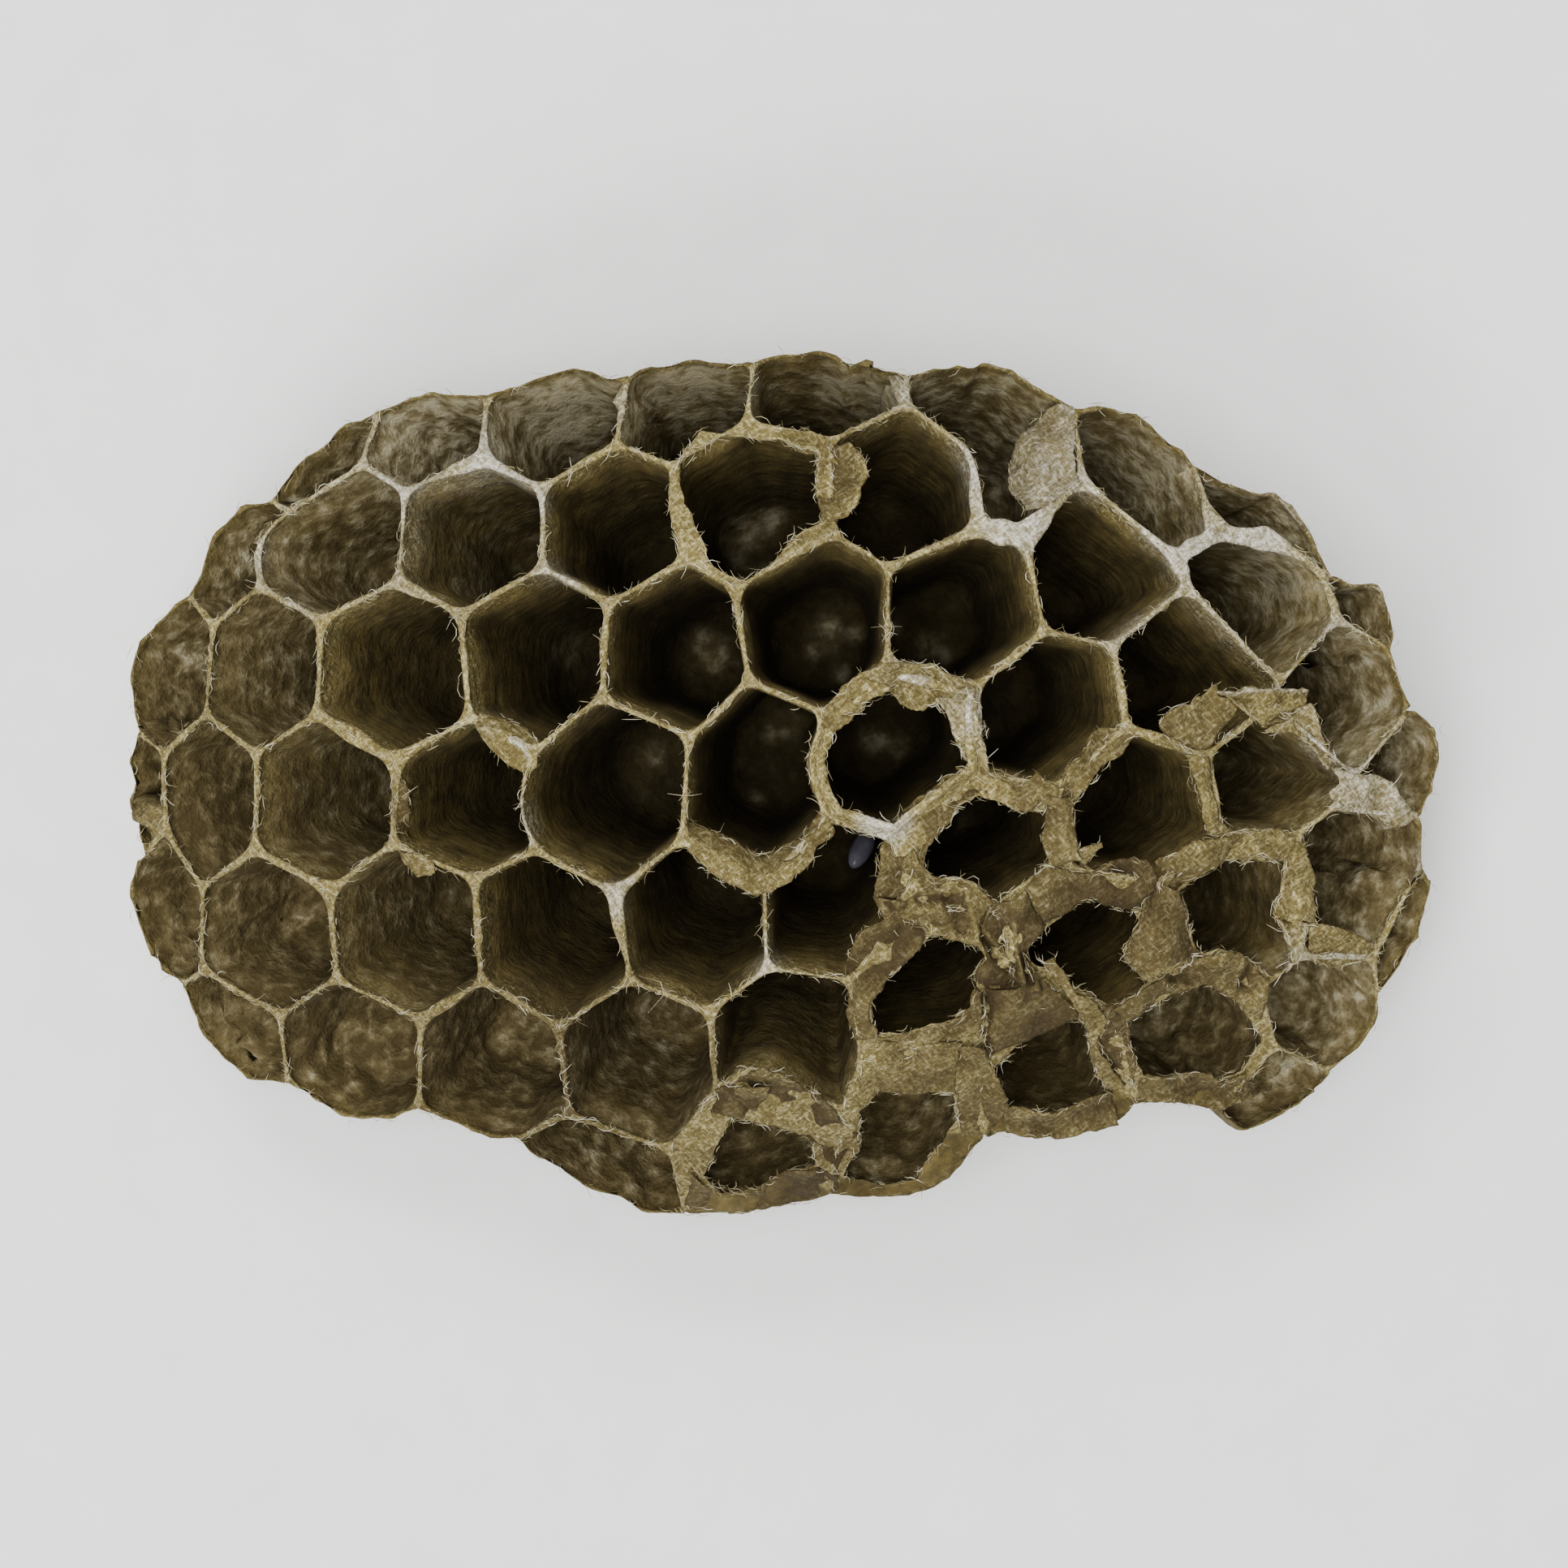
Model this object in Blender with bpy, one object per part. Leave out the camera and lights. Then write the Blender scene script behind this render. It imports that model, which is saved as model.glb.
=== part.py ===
# The comb of a red paper wasp, lying on its back with its mouths up: one sheet of chewed-wood
# paper folded into 61 cells, with one egg in a deep cell. Metres, +Z up, +Y up in the picture.

import math

import bmesh
import bpy
from mathutils import Matrix, Vector
from mathutils.geometry import intersect_line_line_2d

mm = 0.001

# The photograph looks straight down. One picture point is this wide at the height of the crown,
# which makes a grown cell 6.5 mm across, and lower rims look smaller because they are further off.
point_width = 0.036 * mm
view_distance = 230 * mm
picture_middle = 966

# The mouth side is a dome that is highest at the crown and falls away to its long oval edge.
crown_point = (1000, 905)
dome_half_length = 30.5 * mm
dome_half_width = 20.5 * mm
crown_height = 22.0 * mm
rim_drop = 11.5 * mm
rim_drop_power = 2.6

# The back is a shallow saucer, and the cells fan out from it.
base_height = 2.4 * mm
base_rise = 2.8 * mm
upright_point = (1050, 800)
fan_radius = 80 * mm
edge_lean = 0.35

# Paper and cell forms.
sides = 12
lip = 0.25 * mm
outward_bulge = 0.18 * mm
wall_half = 0.26 * mm
shoulder = 1.3 * mm
floor_ring = 0.35 * mm
floor_share = 0.6
valley = 0.35 * mm
bump = 0.4 * mm

# One cell has a collar that stands over its neighbours: height and width of the sloping face.
collars = {(3, 5): (1.2 * mm, 0.4 * mm)}
collar_lip = 0.3 * mm

# The root of the stalk, cut off flat: the comb rests on it.
stalk_length = 14 * mm
stalk_width = 10.5 * mm
stalk_flare = 1.16
stalk_sink = 0.4 * mm
stalk_blend = 1.5 * mm
stalk_fade = 4 * mm
stalk_sides = 28

# A sheet of torn paper.
flap_thickness = 0.3 * mm

# The egg.
egg_length = 2.4 * mm
egg_width = 1.05 * mm
egg_point = (1059, 1047)
egg_height = 5.5 * mm
egg_tilt = math.radians(50)
egg_turn = math.radians(-28)

# The rims as read in the photograph, in picture points. Each line runs between two rows of cells
# and goes down and up from one corner to the next, from the step that is named first.
rim_lines = {
    0: (4, [(372, 568), (425, 523), (465, 507), (530, 483), (600, 487), (705, 454), (772, 468),
            (855, 443), (928, 447), (1010, 432), (1118, 463), (1180, 450), (1248, 456)]),
    1: (2, [(266, 655), (335, 616), (357, 628), (447, 572), (498, 606), (595, 565), (667, 602),
            (759, 549), (831, 574), (921, 521), (1022, 543), (1118, 497), (1197, 557), (1290, 487),
            (1322, 503), (1400, 510), (1471, 575), (1540, 606), (1592, 622)]),
    2: (0, [(172, 790), (233, 734), (262, 769), (322, 724), (395, 765), (490, 717), (567, 757),
            (669, 699), (748, 743), (845, 690), (905, 722), (1028, 657), (1093, 698), (1210, 650),
            (1262, 660), (1334, 592), (1452, 688), (1500, 655), (1630, 703), (1640, 710),
            (1698, 721)]),
    3: (-2, [(160, 935), (172, 901), (202, 928), (254, 880), (316, 928), (390, 881), (487, 938),
             (578, 884), (657, 927), (742, 859), (849, 908), (922, 838), (1017, 880), (1094, 815),
             (1205, 845), (1287, 777), (1371, 797), (1463, 722), (1578, 842), (1648, 763),
             (1704, 794), (1717, 786)]),
    4: (-3, [(160, 990), (183, 1046), (203, 1022), (249, 1093), (314, 1046), (406, 1097),
             (485, 1040), (585, 1083), (662, 1048), (757, 1100), (841, 1034), (940, 1088),
             (1022, 1009), (1100, 1035), (1209, 951), (1301, 972), (1388, 896), (1487, 933),
             (1565, 865), (1670, 957), (1733, 882), (1772, 915)]),
    5: (-3, [(160, 1105), (225, 1212), (249, 1196), (346, 1251), (415, 1206), (520, 1256),
             (594, 1209), (687, 1265), (777, 1208), (876, 1248), (946, 1193), (1048, 1208),
             (1118, 1117), (1229, 1123), (1316, 1069), (1428, 1088), (1507, 1027), (1600, 1028),
             (1643, 994), (1748, 1006), (1765, 975)]),
    6: (-3, [(250, 1275), (305, 1328), (355, 1334), (445, 1379), (515, 1366), (637, 1402),
             (701, 1375), (824, 1416), (883, 1345), (1036, 1373), (1062, 1308), (1202, 1288),
             (1252, 1228), (1374, 1256), (1464, 1187), (1553, 1218), (1603, 1178), (1692, 1178),
             (1738, 1093), (1763, 1085)]),
    7: (1, [(690, 1438), (790, 1492), (845, 1493), (915, 1496), (1023, 1471), (1120, 1473),
            (1213, 1397), (1300, 1400), (1400, 1357), (1504, 1360), (1572, 1290), (1638, 1320),
            (1698, 1223), (1722, 1193), (1748, 1155)]),
    8: (9, [(1530, 1393), (1572, 1377), (1620, 1345)]),
}

# First and last cell of each row.
cell_rows = {0: (2, 7), 1: (1, 9), 2: (0, 9), 3: (-1, 8), 4: (-1, 8), 5: (-1, 7), 6: (1, 7), 7: (5, 5)}

# Two cells at the top right have grown into one wide cup: the rim between them is missing.
open_rim = ((1, 14), (1, 15))

# Rims that swing far out between their corners, by the two corners that they join.
bowed_rims = {
    ((1, 4), (2, 3)): (320, 672),
    ((2, 17), (2, 18)): (1572, 664),
    ((3, 10), (4, 9)): (1000, 945),
    ((6, 5), (6, 6)): (940, 1318),
}

# Mouths that torn and folded paper leaves smaller than their cells: how far the paper rises
# towards the mouth, as a share of its width, and the mouth's outline in the photograph.
torn_mouths = {
    (1, 5): (0.35, [(1008, 560), (985, 552), (960, 541), (925, 540), (868, 532), (838, 572), (842, 605),
                    (862, 655), (871, 682), (884, 702), (917, 716), (965, 684), (1002, 649), (1014, 636),
                    (1006, 600)]),
    (4, 5): (0.12, [(1205, 978), (1245, 997), (1275, 1002), (1290, 1000), (1295, 1055), (1250, 1090),
                    (1222, 1110), (1195, 1085), (1150, 1083), (1143, 1045), (1175, 1015)]),
    (5, 4): (0.08, [(1140, 1150), (1190, 1160), (1215, 1175), (1203, 1225), (1198, 1245),
                    (1130, 1272), (1080, 1270), (1073, 1225), (1100, 1200)]),
    (5, 5): (-0.15, [(1340, 1108), (1400, 1120), (1385, 1180), (1425, 1195), (1378, 1238),
                     (1330, 1215), (1265, 1170), (1300, 1120)]),
    (5, 6): (-0.2, [(1452, 1098), (1500, 1062), (1570, 1057), (1580, 1080), (1570, 1130),
                    (1595, 1165), (1560, 1200), (1530, 1180), (1480, 1168), (1462, 1120)]),
    (6, 2): (0.1, [(900, 1375), (935, 1382), (1000, 1400), (1003, 1436), (965, 1440), (940, 1462),
                   (890, 1470), (865, 1450), (885, 1410)]),
    (6, 3): (-0.25, [(1085, 1345), (1175, 1347), (1182, 1375), (1140, 1435), (1130, 1455),
                     (1075, 1460), (1040, 1450), (1060, 1410), (1058, 1372)]),
    (6, 4): (-0.2, [(1228, 1315), (1240, 1290), (1285, 1270), (1340, 1270), (1350, 1320),
                    (1368, 1340), (1300, 1368), (1235, 1370)]),
    (6, 5): (-0.1, [(1480, 1207), (1525, 1230), (1556, 1280), (1530, 1320), (1495, 1330),
                    (1410, 1330), (1398, 1300), (1390, 1262)]),
}
ledge_share = 0.16

# Torn sheets of paper: outlines in the photograph, with each point's height over the rims in mm.
flaps = {
    "flap inside a rim": [(1428, 900, -0.6), (1432, 882, -0.8), (1470, 862, -0.8), (1500, 842, -0.4),
                          (1530, 862, 0.1), (1506, 888, 0.1), (1496, 932, 0.1), (1440, 915, 0.1)],
    "flap folded down": [(1500, 848, 0.1), (1560, 846, 0.1), (1612, 850, 0.1), (1632, 905, 0.1),
                         (1644, 948, 0.1), (1600, 900, -0.2), (1566, 905, -0.5), (1525, 868, 0.1)],
    "flap turned out": [(1420, 1082, 0.3), (1455, 1100, 0.3), (1474, 1172, 0.2), (1420, 1200, -0.3),
                        (1388, 1176, -0.3), (1412, 1125, 0.1)],
    "lobe leaning over the rim": [(1008, 556, 0.1), (1048, 546, 0.3), (1066, 570, 0.4), (1070, 590, 0.4),
                                  (1060, 612, 0.4), (1048, 634, 0.3), (1018, 642, 0.1), (1006, 600, 0.1)],
    "flap on the middle collar": [(1068, 826, 1.1), (1112, 815, 1.2), (1152, 822, 1.2), (1192, 845, 1.1),
                                  (1206, 900, 0.8), (1216, 948, 0.5), (1192, 940, 0.6), (1170, 900, 0.8),
                                  (1155, 868, 0.7), (1130, 878, 0.5), (1098, 850, 1.0)],
    "white sheet by the edge": [(1640, 945, 0.1), (1692, 955, 0.1), (1736, 975, 0.1), (1745, 1004, 0.1),
                                (1720, 1016, -0.2), (1690, 1004, -0.2), (1650, 996, 0.1)],
    "ragged sheet below it": [(1606, 1130, 0.1), (1660, 1148, -0.2), (1694, 1168, 0.1), (1690, 1182, 0.1),
                              (1636, 1192, 0.1), (1606, 1180, 0.1)],
}

paper_colour = (0.19, 0.155, 0.09, 1.0)
egg_colour = (0.62, 0.64, 0.68, 1.0)


def clear_scene():
    for thing in list(bpy.data.objects):
        bpy.data.objects.remove(thing)


def make_collection(name):
    collection = bpy.data.collections.new(name)
    bpy.context.scene.collection.children.link(collection)
    return collection


def make_material(name, colour, roughness):
    material = bpy.data.materials.new(name)
    material.use_nodes = True
    shader = material.node_tree.nodes["Principled BSDF"]
    shader.inputs["Base Color"].default_value = colour
    shader.inputs["Roughness"].default_value = roughness
    shader.inputs["Metallic"].default_value = 0.0
    material.diffuse_color = colour
    return material


def flat_place(point):
    """Where a picture point lies in the plane of the crown."""
    return Vector((point[0] - picture_middle, picture_middle - point[1])) * point_width


crown = flat_place(crown_point)
upright = flat_place(upright_point)


def edge_share(flat):
    """0 at the crown and 1 at the comb's edge."""
    off = flat - crown
    return min(math.hypot(off.x / dome_half_length, off.y / dome_half_width), 1.15)


def on_dome(point, raised=0.0):
    """A picture point's place on the domed mouth side."""
    flat = flat_place(point)
    height = crown_height - rim_drop * edge_share(flat) ** rim_drop_power + raised
    spread = 1 + (crown_height - height) / view_distance
    return Vector((flat.x * spread, flat.y * spread, height))


def picture_point(place):
    """The picture point that a place on the comb is seen at."""
    flat = Vector(place[:2]) / (1 + (crown_height - place.z) / view_distance) / point_width
    return (picture_middle + flat.x, picture_middle - flat.y)


def lean(place):
    """How far the wall under a rim point moves outwards for each metre that it rises."""
    flat = Vector(place[:2])
    out = (flat - crown).normalized() if (flat - crown).length > 0 else Vector((0, 0))
    return (flat - upright) / fan_radius + out * edge_lean * edge_share(flat) ** 4


def base_of(place):
    """The point on the comb's back under a rim point."""
    height = base_height + base_rise * edge_share(Vector(place[:2])) ** 2
    slide = lean(place) * (place.z - height)
    return Vector((place.x - slide.x, place.y - slide.y, height))


def corner_point(corner):
    line, step = corner
    first, points = rim_lines[line]
    return points[step - first]


def cell_corners(cell):
    """The six corners of a cell, counter-clockwise seen from above, as (line, step)."""
    row, column = cell
    middle = 2 * column
    above = [(row, middle + 2), (row, middle + 1), (row, middle)]
    below = [(row + 1, middle - 1), (row + 1, middle), (row + 1, middle + 1)]
    return above + below


def all_cells():
    return [(row, column) for row, (first, last) in cell_rows.items() for column in range(first, last + 1)]


def edge_uses(cells):
    uses = {}
    for cell in cells:
        corners = cell_corners(cell)
        for one, other in zip(corners, corners[1:] + corners[:1]):
            key = tuple(sorted((one, other)))
            uses[key] = uses.get(key, 0) + 1
    return uses


def rim_middle(one, other, outer, centre):
    """The picture point half-way along a rim."""
    key = tuple(sorted((one, other)))
    if key in bowed_rims:
        return bowed_rims[key]
    a, b = Vector(corner_point(one)), Vector(corner_point(other))
    middle = (a + b) / 2
    if outer:
        middle += (middle - centre).normalized() * outward_bulge / point_width
    return tuple(middle)


def cell_outline(cell, uses):
    """The picture points of a cell's rim: its corners and the points half-way between them."""
    corners = cell_corners(cell)
    centre = sum((Vector(corner_point(corner)) for corner in corners), Vector((0, 0))) / len(corners)
    points = []
    for one, other in zip(corners, corners[1:] + corners[:1]):
        outer = uses[tuple(sorted((one, other)))] == 1
        points += [corner_point(one), rim_middle(one, other, outer, centre)]
    return points


def centre_of(points):
    return sum((Vector(point) for point in points), Vector(points[0]) * 0) / len(points)


def mouth_point(outline, centre, toward):
    """Where the line from a mouth's centre towards a rim point meets the mouth's outline."""
    far = centre + (Vector(toward) - centre) * 3
    for one, other in zip(outline, outline[1:] + outline[:1]):
        hit = intersect_line_line_2d(centre, far, Vector(one), Vector(other))
        if hit:
            return tuple(hit)
    return tuple(toward)


def section_point(wall, centre, share, half):
    """A point of a cell's inside: share of the way down from the rim, clear of the wall's middle."""
    base = base_of(wall)
    place = wall.lerp(base, share)
    inward = centre.lerp(base_of(centre), share) - place
    inward.z = 0
    return place + inward.normalized() * half


def build_front(mesh, cells, uses):
    """The honeycomb of rims as one flat-faced net: one face for each cell, corners shared."""
    names = mesh.faces.layers.int.new("cell")
    for number, cell in enumerate(cells):
        made = bmesh.ops.create_circle(mesh, cap_ends=True, segments=sides, radius=1 * mm)
        for vert, point in zip(made["verts"], cell_outline(cell, uses)):
            vert.co = on_dome(point)
        face = made["verts"][0].link_faces[0]
        face[names] = number
    bmesh.ops.remove_doubles(mesh, verts=mesh.verts, dist=0.001 * mm)
    bmesh.ops.recalc_face_normals(mesh, faces=mesh.faces)
    if sum(face.normal.z for face in mesh.faces) < 0:
        bmesh.ops.reverse_faces(mesh, faces=mesh.faces)
    ends = [on_dome(corner_point(corner)) for corner in open_rim]
    middle = on_dome(rim_middle(open_rim[0], open_rim[1], False, None))
    gone = [edge for edge in mesh.edges
            if any((sum((vert.co for vert in edge.verts), Vector()) / 2 - (end + middle) / 2).length < 0.05 * mm
                   for end in ends)]
    bmesh.ops.dissolve_edges(mesh, edges=gone, use_verts=True)
    return names


def build_back(mesh, front):
    """The back: a copy of the net let down to the cells' bases, with a rounded bump on each cell."""
    copied = bmesh.ops.duplicate(mesh, geom=front)
    faces = [item for item in copied["geom"] if isinstance(item, bmesh.types.BMFace)]
    verts = [item for item in copied["geom"] if isinstance(item, bmesh.types.BMVert)]
    for vert in verts:
        vert.co = base_of(vert.co)
        vert.co.z += valley
    bmesh.ops.reverse_faces(mesh, faces=faces)
    poked = bmesh.ops.poke(mesh, faces=faces)
    for vert in poked["verts"]:
        vert.co.z -= valley + bump
    return poked["faces"]


def flatten_stalk_root(mesh, faces, middle):
    """Lets the back run level where the root of the stalk grows from it, and rise slowly around it."""
    for vert in {vert for face in faces for vert in face.verts}:
        off = vert.co - middle
        reach = math.hypot(off.x / (stalk_length / 2), off.y / (stalk_width / 2))
        beyond = (reach - stalk_flare) * stalk_width / 2 - stalk_blend
        vert.co.z = middle.z + (vert.co.z - middle.z) * min(1, max(0, beyond / stalk_fade))


def move_loop(face, places):
    for vert, place in zip(face.verts, places):
        vert.co = place


def extrude_down(mesh, face, places):
    new = bmesh.ops.extrude_discrete_faces(mesh, faces=[face])["faces"][0]
    move_loop(new, places)
    return new


def collar_places(walls, centre, height, width):
    """A collar's edge: the rim raised, and drawn in towards the cell's centre."""
    places = []
    for wall in walls:
        place = wall + (centre - wall).normalized() * width
        places.append(Vector((place.x, place.y, wall.z + height)))
    return places


def torn_places(walls, rise, outline):
    """The edge of a torn mouth: each point on the way from the mouth's centre to a rim point."""
    middle = centre_of([Vector(point) for point in outline])
    places = []
    for wall in walls:
        place = on_dome(mouth_point(outline, middle, picture_point(wall)))
        place.z += (place - wall).length * rise
        places.append(place)
    return places


def sink_cell(mesh, face, cell):
    """Turns one face of the net into a cell: rim strip, inner wall and rounded floor."""
    walls = [vert.co.copy() for vert in face.verts]
    centre = centre_of(walls)
    depth = centre.z - base_of(centre).z
    shares = [1 - shoulder / depth]
    bmesh.ops.inset_individual(mesh, faces=[face], thickness=lip, use_even_offset=True)
    if cell in collars:
        height, width = collars[cell]
        move_loop(face, collar_places(walls, centre, height, width))
        face = extrude_down(mesh, face, collar_places(walls, centre, height, width + collar_lip))
    elif cell in torn_mouths:
        move_loop(face, torn_places(walls, *torn_mouths[cell]))
        shares.insert(0, ledge_share)
    for share in shares:
        face = extrude_down(mesh, face, [section_point(wall, centre, share, wall_half) for wall in walls])
    floor_middle = base_of(centre)
    places = [floor_middle.lerp(base_of(wall), floor_share) + Vector((0, 0, floor_ring)) for wall in walls]
    extrude_down(mesh, face, places)


def close_edge(mesh):
    """The outer wall: joins the net's edge to the back's."""
    bmesh.ops.bridge_loops(mesh, edges=[edge for edge in mesh.edges if edge.is_boundary])


def new_object(name, mesh, material, collection):
    data = bpy.data.meshes.new(name)
    mesh.to_mesh(data)
    mesh.free()
    made = bpy.data.objects.new(name, data)
    data.materials.append(material)
    collection.objects.link(made)
    return made


def make_comb(material, collection):
    """The whole comb but for its flaps and stalk, and the point of its back that the stalk grows from."""
    cells = all_cells()
    mesh = bmesh.new()
    names = build_front(mesh, cells, edge_uses(cells))
    front = list(mesh.faces)
    back = build_back(mesh, front)
    reach = [vert.co for face in front for vert in face.verts]
    middle = Vector((min(co.x for co in reach) + max(co.x for co in reach),
                     min(co.y for co in reach) + max(co.y for co in reach),
                     2 * (base_height - bump))) / 2
    flatten_stalk_root(mesh, back, middle)
    close_edge(mesh)
    for face in front:
        sink_cell(mesh, face, cells[face[names]])
    bmesh.ops.triangulate(mesh, faces=mesh.faces)
    bmesh.ops.recalc_face_normals(mesh, faces=mesh.faces)
    return new_object("comb", mesh, material, collection), middle


def make_stalk(middle, material, collection):
    """The flat-cut root of the stalk, a low oval foot that widens into the back."""
    top = middle.z + stalk_sink
    mesh = bmesh.new()
    bmesh.ops.create_cone(mesh, cap_ends=True, segments=stalk_sides, radius1=0.5, radius2=0.5 * stalk_flare,
                          depth=top)
    for vert in mesh.verts:
        vert.co = Vector((middle.x + vert.co.x * stalk_length, middle.y + vert.co.y * stalk_width,
                          vert.co.z + top / 2))
    return new_object("stalk", mesh, material, collection)


def make_flap(name, outline, material, collection):
    """A torn sheet of paper over the rims."""
    mesh = bmesh.new()
    face = mesh.faces.new([mesh.verts.new(on_dome(point, point[2] * mm)) for point in reversed(outline)])
    lower = bmesh.ops.extrude_face_region(mesh, geom=[face])
    for item in lower["geom"]:
        if isinstance(item, bmesh.types.BMVert):
            item.co.z -= flap_thickness
    bmesh.ops.triangulate(mesh, faces=mesh.faces)
    bmesh.ops.recalc_face_normals(mesh, faces=mesh.faces)
    return new_object(name, mesh, material, collection)


def make_egg(material, collection):
    """The egg, on its end in the cell, tipped against the wall's slope."""
    mesh = bmesh.new()
    bmesh.ops.create_uvsphere(mesh, u_segments=16, v_segments=8, radius=0.5)
    flat = flat_place(egg_point) * (1 + (crown_height - egg_height) / view_distance)
    turn = Matrix.Rotation(egg_turn, 3, "Z") @ Matrix.Rotation(egg_tilt, 3, "X")
    for vert in mesh.verts:
        size = Vector((vert.co.x * egg_width, vert.co.y * egg_width, vert.co.z * egg_length))
        vert.co = turn @ size + Vector((flat.x, flat.y, egg_height))
    egg = new_object("egg", mesh, material, collection)
    egg.data.shade_smooth()
    return egg


def main():
    clear_scene()
    nest = make_collection("red wasp nest")
    joined = make_collection("joined to the comb")
    joined.hide_render = True
    paper = make_material("paper", paper_colour, 0.85)
    shell = make_material("egg shell", egg_colour, 0.35)
    comb, middle = make_comb(paper, nest)
    egg = make_egg(shell, nest)
    additions = [make_stalk(middle, paper, joined)]
    for name, outline in flaps.items():
        additions.append(make_flap(name, outline, paper, joined))
    for addition in additions:
        addition.hide_render = True
        addition.display_type = "WIRE"
        union = comb.modifiers.new("joins " + addition.name, "BOOLEAN")
        union.operation = "UNION"
        union.solver = "EXACT"
        union.object = addition
    for made in [comb, egg] + additions:
        made.data.transform(Matrix.Translation((-middle.x, -middle.y, 0)))


main()
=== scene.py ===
import math

import bmesh
import bpy
import numpy as np
from mathutils import Matrix, Vector, noise
from mathutils.bvhtree import BVHTree


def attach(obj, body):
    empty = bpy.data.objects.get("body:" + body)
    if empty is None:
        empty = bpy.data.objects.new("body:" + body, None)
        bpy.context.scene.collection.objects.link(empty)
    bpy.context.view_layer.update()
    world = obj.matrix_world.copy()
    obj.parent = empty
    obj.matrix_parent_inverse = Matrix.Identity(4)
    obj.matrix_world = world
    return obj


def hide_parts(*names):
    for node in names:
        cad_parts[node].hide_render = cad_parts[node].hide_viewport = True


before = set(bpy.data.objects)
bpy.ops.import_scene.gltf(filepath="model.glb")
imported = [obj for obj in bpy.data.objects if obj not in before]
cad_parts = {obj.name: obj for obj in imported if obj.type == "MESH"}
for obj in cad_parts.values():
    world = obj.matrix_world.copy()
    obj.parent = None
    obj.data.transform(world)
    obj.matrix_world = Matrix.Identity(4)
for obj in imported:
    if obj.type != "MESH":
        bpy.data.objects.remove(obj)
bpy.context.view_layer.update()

mm = 0.001

photo = {
    "pointWidth": 0.036 * mm,  # one picture point at the height of the crown: cells 6.5 mm across
    "viewDistance": 230 * mm,  # from the camera to the crown
    "frame": 1932,  # picture points across
    "middle": 966,
    "sensor": 36.0,
    "nearest": 0.01,  # the camera shows nothing nearer than this, in metres
}

dome = {
    "crownPoint": (1000, 905),
    "halfLength": 30.5 * mm,
    "halfWidth": 20.5 * mm,
    "crownHeight": 22.0 * mm,
    "rimDrop": 11.5 * mm,
    "dropPower": 2.6,
    "baseHeight": 2.4 * mm,
    "baseRise": 2.8 * mm,
    "uprightPoint": (1050, 800),  # the cell that is seen straight down
    "fanRadius": 80 * mm,
    "edgeLean": 0.35,
    "leanPower": 4,
    "furthest": 1.15,  # shares past the comb's edge count as this
}

# rims as read in the photograph: line between two rows, its first step, and its corners, left to right
rimLines = {
    0: (4, [(372, 568), (425, 523), (465, 507), (530, 483), (600, 487), (705, 454), (772, 468), (855, 443),
        (928, 447), (1010, 432), (1118, 463), (1180, 450), (1248, 456)]),
    1: (2, [(266, 655), (335, 616), (357, 628), (447, 572), (498, 606), (595, 565), (667, 602), (759, 549),
        (831, 574), (921, 521), (1022, 543), (1118, 497), (1197, 557), (1290, 487), (1322, 503),
        (1400, 510), (1471, 575), (1540, 606), (1592, 622)]),
    2: (0, [(172, 790), (233, 734), (262, 769), (322, 724), (395, 765), (490, 717), (567, 757), (669, 699),
        (748, 743), (845, 690), (905, 722), (1028, 657), (1093, 698), (1210, 650), (1262, 660), (1334, 592),
        (1452, 688), (1500, 655), (1630, 703), (1640, 710), (1698, 721)]),
    3: (-2, [(160, 935), (172, 901), (202, 928), (254, 880), (316, 928), (390, 881), (487, 938), (578, 884),
        (657, 927), (742, 859), (849, 908), (922, 838), (1017, 880), (1094, 815), (1205, 845), (1287, 777),
        (1371, 797), (1463, 722), (1578, 842), (1648, 763), (1704, 794), (1717, 786)]),
    4: (-3, [(160, 990), (183, 1046), (203, 1022), (249, 1093), (314, 1046), (406, 1097), (485, 1040),
        (585, 1083), (662, 1048), (757, 1100), (841, 1034), (940, 1088), (1022, 1009), (1100, 1035),
        (1209, 951), (1301, 972), (1388, 896), (1487, 933), (1565, 865), (1670, 957), (1733, 882),
        (1772, 915)]),
    5: (-3, [(160, 1105), (225, 1212), (249, 1196), (346, 1251), (415, 1206), (520, 1256), (594, 1209),
        (687, 1265), (777, 1208), (876, 1248), (946, 1193), (1048, 1208), (1118, 1117), (1229, 1123),
        (1316, 1069), (1428, 1088), (1507, 1027), (1600, 1028), (1643, 994), (1748, 1006), (1765, 975)]),
    6: (-3, [(250, 1275), (305, 1328), (355, 1334), (445, 1379), (515, 1366), (637, 1402), (701, 1375),
        (824, 1416), (883, 1345), (1036, 1373), (1062, 1308), (1202, 1288), (1252, 1228), (1374, 1256),
        (1464, 1187), (1553, 1218), (1603, 1178), (1692, 1178), (1738, 1093), (1763, 1085)]),
    7: (1, [(690, 1438), (790, 1492), (845, 1493), (915, 1496), (1023, 1471), (1120, 1473), (1213, 1397),
        (1300, 1400), (1400, 1357), (1504, 1360), (1572, 1290), (1638, 1320), (1698, 1223), (1722, 1193),
        (1748, 1155)]),
    8: (9, [(1530, 1393), (1572, 1377), (1620, 1345)]),
}
cellRows = {0: (2, 7), 1: (1, 9), 2: (0, 9), 3: (-1, 8), 4: (-1, 8), 5: (-1, 7), 6: (1, 7), 7: (5, 5)}
openRim = ((1, 14), (1, 15))  # missing between two cells that have grown into one wide cup
bowedRims = {  # rims that swing far out between their corners
    ((1, 4), (2, 3)): (320, 672),
    ((1, 10), (2, 9)): (826, 630),
    ((2, 17), (2, 18)): (1572, 664),
    ((3, 10), (4, 9)): (1000, 945),
    ((3, 6), (4, 5)): (641, 990),
    ((6, 5), (6, 6)): (940, 1318),
}

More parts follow.
